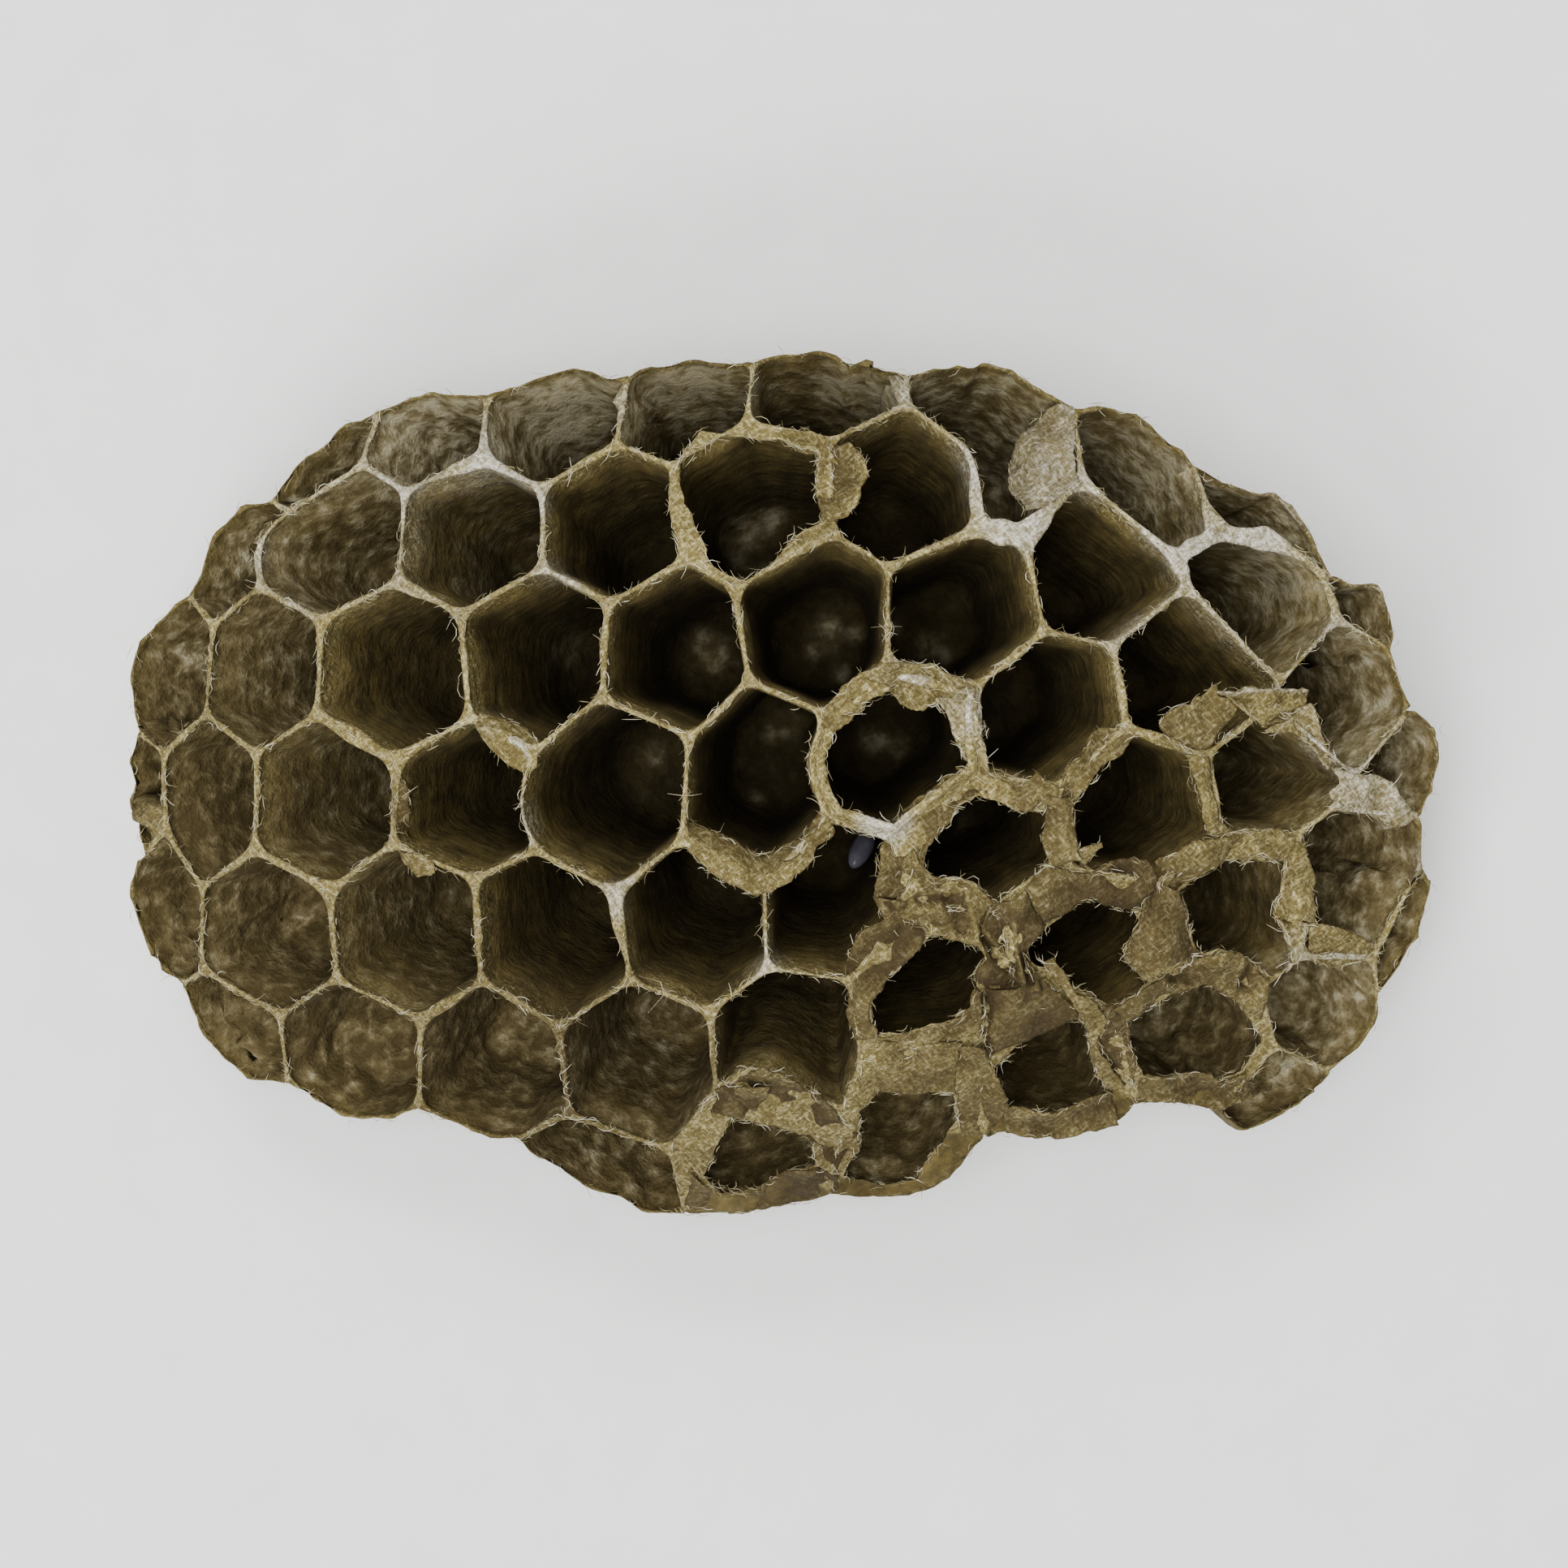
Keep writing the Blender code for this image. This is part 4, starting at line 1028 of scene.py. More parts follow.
# each sheet: how white it is, and its rails from one edge to the other, each of picture points and
# rises in mm above the dome; a sheet with more than two rails is folded along those in the middle
sheets = {
    "collarFlap": (0.35, [(1062, 830, 1.25), (1085, 820, 1.35), (1112, 815, 1.4), (1150, 820, 1.35),
         (1192, 845, 1.25)],
        [(1096, 850, 0.95), (1109, 862, 0.5), (1122, 873, 0.4), (1136, 878, 0.4), (1156, 866, 0.7)]),
    "collarStrip": (0.5, [(1188, 842, 1.2), (1203, 862, 1.2), (1208, 905, 0.9), (1219, 950, 0.4)],
        [(1150, 862, 0.9), (1170, 885, 0.8), (1174, 905, 0.8), (1186, 930, 0.6), (1197, 945, 0.3)]),
    "collarBrim": (0, [(1014, 890, 0.7), (1017, 870, 0.9), (1040, 848, 1.1), (1065, 828, 1.25)],
        [(1028, 900, 1.2), (1046, 886, 1.25), (1072, 867, 1.2), (1098, 849, 1)]),
    "leaningLobe": (0, [(1008, 562, 0.25), (1006, 590, 0.25), (1007, 605, 0.25), (1011, 625, 0.2),
         (1020, 641, 0.15)],
        [(1028, 554, 0.1), (1034, 585, -0.05), (1032, 608, -0.1), (1030, 625, -0.05), (1028, 640, 0.1)],
        [(1046, 547, 0.35), (1064, 562, 0.5), (1070, 583, 0.55), (1058, 606, 0.5), (1054, 622, 0.45),
         (1046, 636, 0.3)]),
    "upperBrim": (0.15, [(960, 532, 0.25), (985, 529, 0.3), (1005, 529, 0.35), (1018, 538, 0.4),
         (1024, 552, 0.4), (1032, 570, 0.3)],
        [(958, 540, 0.1), (985, 552, 0.1), (1004, 556, 0.1), (1008, 560, 0.1), (1012, 564, 0.05)]),
    "tanFlap": (-0.1, [(1428, 886, 0), (1440, 877, 0.2), (1460, 867, 0.35), (1475, 860, 0.35),
         (1500, 842, 0.3)],
        [(1432, 896, 0), (1452, 897, 0.1), (1472, 890, 0.15), (1488, 875, 0.1), (1502, 857, 0.1)],
        [(1438, 906, -0.1), (1465, 921, -0.2), (1486, 930, -0.2), (1499, 904, -0.1), (1512, 886, 0),
         (1524, 868, 0.1)]),
    "greyFold": (0.35, [(1500, 852, 0.35), (1545, 849, 0.5), (1585, 850, 0.5), (1614, 850, 0.3)],
        [(1508, 856, 0.1), (1535, 862, -0.1), (1570, 866, -0.1), (1612, 868, 0)],
        [(1512, 861, 0.2), (1526, 867, 0.25), (1541, 881, 0.2), (1562, 897, 0.1), (1596, 876, 0.1)]),
    "greyTongue": (0.55, [(1560, 901, 0.05), (1578, 889, 0.2), (1600, 874, 0.25), (1618, 868, 0.2),
         (1624, 892, 0.2), (1634, 915, 0.15), (1641, 940, 0.05)],
        [(1567, 905, 0), (1582, 902, 0), (1597, 899, 0), (1606, 907, 0), (1613, 917, 0), (1622, 928, 0),
         (1634, 946, 0)]),
    "wallOf47": (0.3, [(1462, 932, 0), (1467, 952, 0.05), (1475, 980, 0.05), (1482, 1010, 0.05),
         (1487, 1026, 0)],
        [(1478, 928, 0.15), (1480, 952, 0.2), (1484, 980, 0.15), (1491, 1008, 0.15), (1500, 1028, 0.1)],
        [(1489, 930, 0), (1491, 950, 0.05), (1494, 980, 0.05), (1501, 1008, 0.05), (1514, 1022, 0)]),
    "whiteSheet": (0.8, [(1640, 944, 0.2), (1670, 950, 0.2), (1692, 953, 0.2), (1712, 962, 0.2),
         (1728, 984, 0.2)],
        [(1648, 962, -0.1), (1672, 974, -0.1), (1696, 976, -0.1), (1712, 982, 0), (1738, 996, 0.1)],
        [(1640, 978, -0.2), (1662, 998, -0.1), (1690, 1004, -0.1), (1720, 1019, -0.2), (1748, 1006, 0)]),
    "raggedSheet": (0.5, [(1608, 1138, 0.1), (1640, 1142, 0.1), (1660, 1148, -0.1), (1692, 1163, 0),
         (1700, 1176, 0)],
        [(1614, 1162, -0.2), (1640, 1166, -0.1), (1665, 1170, -0.2), (1700, 1178, 0)],
        [(1614, 1182, -0.1), (1636, 1192, -0.2), (1662, 1188, -0.3), (1692, 1184, -0.2)]),
    "bandUnderCollar": (-0.1, [(1182, 948, 0.2), (1165, 956, 0.2), (1150, 975, 0.15), (1130, 986, 0.1),
         (1112, 1000, 0.1), (1098, 1022, 0.05), (1086, 1045, 0), (1080, 1090, 0), (1082, 1108, 0)],
        [(1206, 977, -0.1), (1185, 988, -0.1), (1165, 1014, 0), (1144, 1044, 0.1), (1130, 1056, 0.1),
         (1124, 1074, 0), (1116, 1092, 0), (1108, 1106, 0)]),
    "wavyStrip": (0.1, [(1180, 945, 0.2), (1205, 946, 0.35), (1222, 952, 0.3), (1245, 958, 0.35),
         (1267, 966, 0.2), (1277, 950, 0.3), (1286, 962, 0.2), (1300, 972, 0.1)],
        [(1205, 978, -0.1), (1220, 984, -0.1), (1232, 990, -0.1), (1255, 1000, -0.1), (1270, 1002, -0.1),
         (1280, 988, 0), (1290, 992, 0), (1300, 996, 0)]),
    "raisedLip": (0.2, [(1128, 1046, 0.35), (1134, 1066, 0.45), (1148, 1084, 0.45), (1170, 1082, 0.4),
         (1186, 1082, 0.4), (1206, 1093, 0.4), (1214, 1102, 0.3), (1228, 1116, 0.2)],
        [(1116, 1058, 0), (1124, 1082, 0), (1142, 1100, -0.05), (1168, 1095, -0.1), (1184, 1095, -0.1),
         (1196, 1101, -0.1), (1204, 1110, 0), (1216, 1124, 0.1)],
        [(1108, 1080, 0), (1112, 1102, 0.05), (1128, 1120, 0.2), (1158, 1123, 0.2), (1176, 1122, -0.2),
         (1190, 1124, 0.1), (1198, 1130, 0.15), (1206, 1142, 0.1)],
        [(1104, 1112, 0), (1118, 1136, 0.1), (1147, 1150, 0), (1165, 1154, 0), (1180, 1161, 0),
         (1200, 1162, 0.05), (1208, 1168, 0.1), (1216, 1180, 0.1)]),
    "bandLeftOf54": (-0.1, [(1080, 1104, 0), (1089, 1130, 0.05), (1068, 1142, 0.05), (1052, 1160, 0.05),
         (1042, 1186, 0.05), (1044, 1215, 0.05), (1045, 1250, 0.05), (1052, 1282, 0)],
        [(1112, 1112, 0.15), (1114, 1138, 0.2), (1094, 1160, 0.2), (1076, 1186, 0.2), (1062, 1206, 0.15),
         (1060, 1228, 0.1), (1060, 1252, 0.1), (1063, 1282, 0.05)],
        [(1140, 1134, 0), (1146, 1151, 0), (1122, 1177, 0), (1101, 1200, 0), (1080, 1220, 0),
         (1071, 1234, 0), (1072, 1255, 0), (1078, 1276, 0)]),
    "bandAbove46": (0, [(1396, 893, 0.1), (1356, 899, 0.2), (1340, 912, 0.2), (1338, 927, 0.2),
         (1316, 945, 0.15), (1311, 960, 0.1), (1298, 974, 0.1)],
        [(1400, 906, 0), (1386, 917, 0), (1374, 931, 0), (1350, 956, 0), (1335, 976, 0), (1325, 986, 0),
         (1322, 1003, 0)]),
    "bandLeftOf46": (-0.1, [(1287, 982, 0.1), (1288, 1010, 0.1), (1285, 1032, 0.1), (1296, 1062, 0.1)],
        [(1306, 983, 0.2), (1306, 1010, 0.2), (1306, 1034, 0.2), (1316, 1062, 0.15)],
        [(1322, 984, 0), (1323, 1010, 0), (1327, 1036, 0), (1335, 1062, 0)]),
    "barb": (-0.1, [(1322, 1052, 0.1), (1342, 1043, 0.4), (1357, 1036, 0.7)],
        [(1336, 1068, 0.1), (1346, 1054, 0.4), (1360, 1043, 0.7)]),
    "bandUnder46": (-0.15, [(1262, 1092, 0), (1288, 1064, 0.1), (1320, 1074, 0.15), (1350, 1078, 0.2),
         (1375, 1061, 0.3), (1398, 1058, 0.2), (1413, 1064, 0.1), (1424, 1084, -0.1)],
        [(1276, 1104, 0.05), (1304, 1088, 0.1), (1330, 1090, 0.1), (1352, 1094, 0.1), (1378, 1092, 0.1),
         (1400, 1090, 0.1), (1420, 1098, 0.1)],
        [(1288, 1138, -0.1), (1308, 1128, -0.15), (1326, 1112, -0.15), (1345, 1105, -0.15),
         (1380, 1119, -0.15), (1400, 1121, -0.1), (1417, 1112, -0.1)]),
    "turnedOutFlap": (-0.05, [(1418, 1084, 0), (1411, 1112, 0.3), (1404, 1138, 0.5), (1393, 1160, 0.6),
         (1386, 1180, 0.7), (1398, 1194, 0.6), (1420, 1196, 0.4), (1438, 1188, 0.2)],
        [(1434, 1090, 0.1), (1434, 1115, 0.25), (1432, 1140, 0.35), (1428, 1160, 0.35), (1430, 1176, 0.3),
         (1446, 1184, 0.2)],
        [(1451, 1101, 0), (1461, 1120, 0.05), (1464, 1140, 0.05), (1469, 1156, 0.05), (1479, 1170, 0),
         (1466, 1182, 0)]),
    "ceilingOf56": (0.2, [(1424, 1064, 0.1), (1440, 1054, 0.25), (1460, 1043, 0.3), (1485, 1033, 0.3),
         (1510, 1028, 0.3), (1545, 1024, 0.3), (1580, 1022, 0.3), (1592, 1032, 0.2), (1597, 1050, 0.1)],
        [(1430, 1078, 0.1), (1446, 1068, 0.15), (1465, 1059, 0.2), (1490, 1050, 0.2), (1509, 1039, 0.2),
         (1545, 1034, 0.15), (1578, 1034, 0.1), (1590, 1044, 0)],
        [(1446, 1100, -0.1), (1462, 1091, -0.1), (1476, 1081, -0.1), (1500, 1066, -0.15),
         (1512, 1058, -0.2), (1540, 1063, -0.2), (1562, 1058, -0.2), (1584, 1060, -0.15)]),
    "stripRightOf56": (0.3, [(1590, 1036, 0.1), (1589, 1056, 0), (1584, 1074, 0), (1580, 1105, 0),
         (1571, 1131, 0)],
        [(1600, 1040, 0.3), (1601, 1070, 0.3), (1602, 1100, 0.3), (1602, 1134, 0.3)],
        [(1612, 1038, 0.15), (1613, 1065, 0.1), (1618, 1100, 0.1), (1620, 1138, 0.1)]),
    "whiteKnot": (0.8, [(1577, 1137, 0.1), (1584, 1147, 0.1), (1588, 1160, 0.15), (1591, 1174, 0.15),
         (1592, 1188, 0.1)],
        [(1616, 1139, 0.2), (1610, 1148, 0.3), (1604, 1160, 0.3), (1602, 1172, 0.25), (1600, 1186, 0.15)]),
    "roofOf62": (-0.1, [(884, 1344, 0.15), (925, 1321, 0.3), (943, 1315, 0.4), (1010, 1349, 0.3),
         (1054, 1397, 0.1)],
        [(876, 1372, 0), (901, 1376, -0.1), (936, 1383, -0.2), (1000, 1400, -0.1), (1030, 1440, 0)]),
    "hangingCorner": (0, [(908, 1340, 0.5), (948, 1338, 0.5)],
        [(916, 1380, 0.25), (927, 1384, 0.25)]),
    "sheetUnder62": (-0.1, [(850, 1440, 0), (872, 1460, 0.1), (900, 1466, 0.1), (940, 1465, 0.25),
         (966, 1441, 0.25), (1003, 1439, 0.15), (1030, 1446, 0)],
        [(846, 1485, 0), (868, 1491, 0), (900, 1494, 0), (940, 1490, 0), (970, 1484, 0), (1000, 1477, 0),
         (1030, 1466, 0)]),
    "sheetAbove63": (0.05, [(1078, 1282, 0.1), (1120, 1284, 0.2), (1186, 1286, 0.1)],
        [(1080, 1312, 0.2), (1125, 1314, 0.1), (1182, 1318, 0.15)],
        [(1084, 1346, -0.1), (1130, 1347, -0.1), (1178, 1348, -0.1)]),
    "twistedStrip": (0.15, [(1283, 1184, 0.1), (1300, 1201, 0.3), (1315, 1218, 0.45), (1322, 1238, 0.5),
         (1335, 1259, 0.45), (1342, 1280, 0.3), (1343, 1300, 0.2), (1350, 1318, 0.2), (1366, 1340, 0.1)],
        [(1297, 1179, 0.1), (1306, 1190, 0.3), (1317, 1208, 0.5), (1331, 1222, 0.5), (1353, 1238, 0.45),
         (1364, 1258, 0.4), (1353, 1280, 0.4), (1360, 1300, 0.3), (1386, 1334, 0.1)]),
    "bandLeftOf65": (-0.05, [(1358, 1238, 0.1), (1366, 1256, 0.1), (1354, 1282, 0), (1364, 1304, 0),
         (1384, 1332, 0)],
        [(1398, 1232, 0.1), (1388, 1260, 0.1), (1390, 1282, 0.1), (1398, 1305, 0.1), (1400, 1336, 0.1)]),
    "strandedSheet": (-0.1, [(1220, 1116, 0.1), (1209, 1146, 0.05), (1216, 1178, 0.05), (1204, 1198, 0),
         (1206, 1222, 0)],
        [(1238, 1110, 0.1), (1230, 1150, 0.15), (1236, 1184, 0.1), (1232, 1205, 0.05), (1232, 1220, 0)],
        [(1262, 1096, 0.05), (1254, 1140, 0.2), (1254, 1176, 0.2), (1256, 1200, 0.1), (1262, 1222, 0)],
        [(1290, 1140, -0.1), (1276, 1156, 0), (1262, 1174, 0), (1270, 1196, 0), (1284, 1222, 0)]),
    "brownSheet": (-0.05, [(1204, 1222, 0), (1214, 1248, 0), (1210, 1270, 0), (1222, 1296, 0)],
        [(1244, 1220, 0.15), (1250, 1244, 0.1), (1254, 1268, 0), (1256, 1284, 0)],
        [(1284, 1208, 0), (1306, 1226, -0.1), (1318, 1240, -0.2), (1326, 1254, -0.1)]),
    "stripRightOf54": (0.1, [(1203, 1220, 0.1), (1198, 1232, 0.1), (1194, 1244, 0.1), (1176, 1256, 0.1),
         (1150, 1264, 0.1), (1112, 1276, 0.1), (1080, 1278, 0.1)],
        [(1213, 1226, 0.15), (1214, 1248, 0.15), (1208, 1268, 0.15), (1186, 1280, 0.15), (1150, 1286, 0.15),
         (1112, 1294, 0.1), (1080, 1296, 0)]),
    "bandUnder56": (0.05, [(1372, 1242, 0.1), (1400, 1226, 0.15), (1420, 1212, 0.2), (1450, 1190, 0.2),
         (1480, 1177, 0.2), (1505, 1170, 0.2), (1530, 1178, 0.2), (1548, 1191, 0.15), (1564, 1206, 0.1)],
        [(1380, 1250, 0.1), (1404, 1238, 0.1), (1428, 1224, 0.1), (1458, 1203, 0), (1482, 1196, 0.1),
         (1505, 1198, 0.15), (1525, 1208, 0.1), (1544, 1222, 0.1), (1560, 1228, 0.1)],
        [(1388, 1260, 0), (1408, 1248, 0), (1440, 1229, -0.05), (1468, 1216, -0.1), (1482, 1210, -0.05),
         (1500, 1218, 0), (1522, 1231, 0), (1534, 1246, 0), (1552, 1252, 0)]),
    "wallBetween6364": (-0.1, [(1183, 1288, 0), (1180, 1320, 0), (1178, 1376, 0), (1190, 1400, 0)],
        [(1200, 1288, 0.15), (1202, 1320, 0.15), (1206, 1366, 0.15), (1216, 1398, 0)],
        [(1221, 1290, 0), (1223, 1316, 0), (1234, 1342, 0), (1242, 1366, 0)]),
    "rimUnder64": (-0.1, [(1240, 1366, 0.05), (1300, 1371, 0.1), (1368, 1346, 0.05)],
        [(1236, 1393, 0), (1300, 1400, 0), (1380, 1384, 0)]),
    "rimUnder65": (0, [(1404, 1330, 0.05), (1490, 1322, 0.1), (1510, 1334, 0.1), (1532, 1324, 0.05)],
        [(1398, 1358, 0), (1450, 1358, 0), (1500, 1366, 0), (1546, 1352, 0)]),
    "whitishFace": (0.5, [(590, 876, -0.6), (622, 884, -0.7), (648, 900, -0.6), (668, 922, -0.3)],
        [(584, 890, 0.15), (612, 897, 0.3), (640, 913, 0.32), (662, 931, 0.25)],
        [(590, 899, 0), (606, 920, -0.1), (626, 943, -0.2), (646, 948, -0.2), (660, 944, -0.1)]),
    "wallFlap": (0, [(482, 948, 0), (484, 980, 0.1), (486, 1012, 0)],
        [(492, 952, -0.3), (506, 975, -0.6), (500, 1010, -0.3)]),
    "curledFlake": (0.3, [(494, 1049, 0.1), (512, 1052, 0.25), (532, 1066, 0.35)],
        [(500, 1066, -0.1), (514, 1078, 0), (538, 1077, 0.25)]),
    "faceUnder34": (0.2, [(843, 1010, -0.7), (870, 1020, -0.7), (900, 1036, -0.7), (940, 1056, -0.6),
         (985, 1034, -0.7), (1014, 998, -0.6)],
        [(842, 1030, 0.25), (872, 1046, 0.32), (905, 1066, 0.32), (940, 1084, 0.32), (985, 1056, 0.32),
         (1022, 1010, 0.25)],
        [(843, 1042, 0), (870, 1073, 0.05), (905, 1094, 0.05), (937, 1104, 0.1), (962, 1090, 0.1),
         (1000, 1062, 0.05), (1026, 1024, 0)]),
    "paleBulge": (1.15, [(1262, 628, -0.6), (1246, 600, -1.8), (1244, 570, -2.2), (1256, 540, -2.2),
         (1280, 515, -1.4), (1305, 500, -0.3)],
        [(1290, 622, -0.2), (1272, 596, -0.9), (1268, 566, -1.1), (1280, 540, -1.1), (1298, 522, -0.7),
         (1313, 502, -0.1)],
        [(1334, 596, 0.1), (1330, 580, 0.1), (1328, 560, 0.1), (1326, 540, 0.1), (1324, 520, 0.1),
         (1322, 503, 0.1)]),
}

smoothSheets = ("paleBulge",)  # a wall that bulges, with little felt

# ridges (rise above 0) and cracks (below 0) in the paper: width in picture points, rise in mm, tone (painted
# highlight along a ridge above 0, painted shade in a crack below 0), way
creases = [
    (6, 0.22, 0.5, [(1190, 1100), (1195, 1115), (1198, 1130), (1203, 1145), (1206, 1156), (1215, 1178)]),
    (18, -0.45, -0.35, [(1176, 1108), (1182, 1124), (1186, 1142)]),
    (7, -0.6, -0.9, [(1210, 1155), (1222, 1170), (1235, 1185), (1248, 1200)]),
    (6, 0.2, 0.4, [(1217, 1153), (1230, 1167), (1243, 1183), (1254, 1197)]),
    (6, -0.5, -0.8, [(1241, 1148), (1244, 1170), (1254, 1195)]),
    (7, 0.3, 0.6, [(1250, 1140), (1249, 1160), (1253, 1180), (1259, 1200), (1268, 1212), (1278, 1218)]),
    (8, -0.8, -1.0, [(1263, 1178), (1267, 1196), (1270, 1212)]),
    (5, -0.3, -0.6, [(1222, 1217), (1245, 1216)]),
    (7, -0.4, -0.6, [(1240, 1208), (1250, 1214)]),
    (8, -0.5, -0.9, [(1214, 1228), (1217, 1258), (1212, 1272), (1221, 1298)]),
    (7, -0.3, -0.6, [(1132, 1108), (1150, 1107), (1166, 1106)]),
    (5, 0.15, 0.4, [(1115, 1130), (1140, 1121), (1160, 1123)]),
    (6, -0.35, -0.8, [(1093, 1112), (1100, 1120)]),
    (5, 0.15, 0.5, [(1140, 1136), (1147, 1150)]),
    (5, -0.25, -0.5, [(1355, 1288), (1370, 1310), (1386, 1334), (1396, 1342)]),
    (8, -0.3, -0.5, [(1540, 1190), (1535, 1204), (1530, 1216)]),
    (10, -0.35, -0.2, [(1444, 1204), (1462, 1206), (1476, 1208)]),
    (5, 0.2, 0.5, [(1500, 853), (1520, 854), (1545, 850), (1600, 850), (1616, 849)]),
    (6, -0.3, -0.3, [(1556, 897), (1566, 892), (1580, 884), (1596, 877)]),
    (5, 0.15, 0.4, [(1432, 926), (1450, 929), (1470, 931)]),
    (6, -0.25, -0.3, [(1440, 917), (1455, 921), (1468, 924)]),
    (5, -0.25, -0.6, [(832, 641), (835, 644)]),
    (5, -0.2, -0.5, [(978, 670), (986, 666)]),
    (5, -0.2, -0.4, [(966, 684), (969, 681)]),
    (5, -0.2, -0.4, [(957, 693), (961, 690)]),
    (5, -0.2, -0.3, [(864, 680), (868, 684)]),
    (5, 0.15, 0.3, [(1046, 548), (1064, 562), (1069, 582), (1058, 606), (1052, 624)]),
    (6, -0.2, -0.5, [(1440, 1081), (1447, 1079)]),
]


def alongRail(rail, share):  # the place a share of the way along a rail, by length
    places = [onDome(point, point[2] * mm) for point in rail]
    lengths = [(after - before).length for before, after in zip(places, places[1:])]
    left = share * sum(lengths)
    for before, after, length in zip(places, places[1:], lengths):
        if left <= length:
            return before.lerp(after, left / length)
        left -= length
    return places[-1]


def railLength(rail):
    return sum((onDome(after) - onDome(before)).length for before, after in zip(rail, rail[1:]))


def raggedness(share, seed, rate):  # how far an edge strays, a share of the way along it
    coarse = noise.noise(Vector((share * rate, seed, 0.5)))
    return coarse + 0.6 * noise.noise(Vector((share * rate * 3.1, seed, 5.5)))


def addSheet(name, white, rails, seed):
    form = sheetForm
    length = max(railLength(rail) for rail in rails)
    middles = [alongRail(rail, 0.5) for rail in rails]
    widths = [(after - before).length for before, after in zip(middles, middles[1:])]
    total = sum(widths)
    stops = [sum(widths[:number]) / total for number in range(len(rails))]
    along = max(form["fewest"][0], round(length / form["spacing"]))
    across = max(form["fewest"][1], round(total / form["spacing"]))
    felt = form["smoothFelt"] if name in smoothSheets else form["felt"]
    foldSize, foldShare, foldMost = form["fold"]
    sagShare, sagMost = form["sag"]
    bpy.ops.mesh.primitive_grid_add(x_subdivisions=along, y_subdivisions=across, size=1)
    sheet = bpy.context.object
    sheet.name = name
    depths, edges, whitenessAndReliefShade = [], [], []
    for vert in sheet.data.vertices:
        u, v = vert.co.x + 0.5, vert.co.y + 0.5
        span = (alongRail(rails[0], u) - alongRail(rails[-1], u)).length
        early = raggedness(u, seed, length / form["raggedSizes"][0]) * form["ragged"] / span
        late = raggedness(u, seed + 8, length / form["raggedSizes"][1]) * form["ragged"] / span
        share = v + early * (1 - v) + late * v
        number = min(len(rails) - 2, sum(share > stop for stop in stops[1:-1]))
        part = (share - stops[number]) / (stops[number + 1] - stops[number])
        place = alongRail(rails[number], u).lerp(alongRail(rails[number + 1], u), part)
        for size, height in form["crumples"]:
            place = crumpled(place, height, size)
        fold = noise.noise(Vector((place.x / foldSize, place.y / foldSize, seed)))
        place.z += min(foldMost, span * foldShare) * fold
        if len(rails) == 2:
            place.z -= min(sagMost, span * sagShare) * math.sin(math.pi * v)
        vert.co = place
        depths.append(0.3 + v * span / mm)
        edges.append(felt + form["feltVariety"] * waves(place, 0.8 * mm))
        # raised parts of a sheet are painted lighter and sunken parts darker: painted light and shade of its
        # folds
        rise = (place.z - onDome(picturePoint(place)).z) / mm
        lowest, highest = form["reliefShadeLimits"]
        whitenessAndReliefShade.append(white - form["browner"] + max(lowest, min(highest, rise * form["relief"])))
    for layer, values in (("depthMm", depths), ("edge", edges), ("tone", whitenessAndReliefShade)):
        sheet.data.attributes.new(layer, "FLOAT", "POINT").data.foreach_set("value", values)
    thicken = sheet.modifiers.new("thickness", "SOLIDIFY")
    thicken.thickness = form["thickness"]
    thicken.offset = 0
    bpy.ops.object.modifier_apply(modifier=thicken.name)
    return sheet


bpy.ops.object.select_all(action="DESELECT")
made = []
for name, (white, *rails) in sheets.items():
    made.append(addSheet(name, white, rails, 10.0 + len(made)))
tornPaper = joinAll(made, "tornPaper")
bpy.ops.object.mode_set(mode="EDIT")
bpy.ops.mesh.select_all(action="SELECT")
bpy.ops.mesh.normals_make_consistent(inside=False)
bpy.ops.object.mode_set(mode="OBJECT")
bpy.ops.object.shade_smooth()
tornPaper.data.materials.append(combPaper)
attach(tornPaper, "root")
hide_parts("comb")
print("sheet triangles", triangles(tornPaper))

print("tones and creases")


def nearness(x, y, way, width):  # 1 on a crease's way and 0 half its width from it
    apart = np.full(len(x), 1e9)
    for (x0, y0), (x1, y1) in zip(way, way[1:]):
        alongX, alongY = x1 - x0, y1 - y0
        share = np.clip(((x - x0) * alongX + (y - y0) * alongY) / (alongX ** 2 + alongY ** 2), 0, 1)
        apart = np.minimum(apart, np.hypot(x - x0 - share * alongX, y - y0 - share * alongY))
    return np.where(apart < width, (1 - (apart / width) ** 2) ** 2, 0)


def spotSums(spots, x, y):  # what a list of spots adds at each of many picture points
    total = np.zeros(len(x))
    for spotX, spotY, radius, amount in spots:
        apart = np.hypot(x - spotX, y - spotY) / radius
        total += np.where(apart < 1, amount * (1 - apart ** 2) ** 2, 0)
    return total


creaseForm = {
    "broadTone": 100,  # picture points: spots up to this size are painted on the comb alone
    "shallow": 1.5,  # mm under the rim, where the comb's creases end
    "floors": 6,  # mm under the rim, where the floors' spots begin
    "spotSpread": 1.5,
    "spotBlotches": 0.7,
}


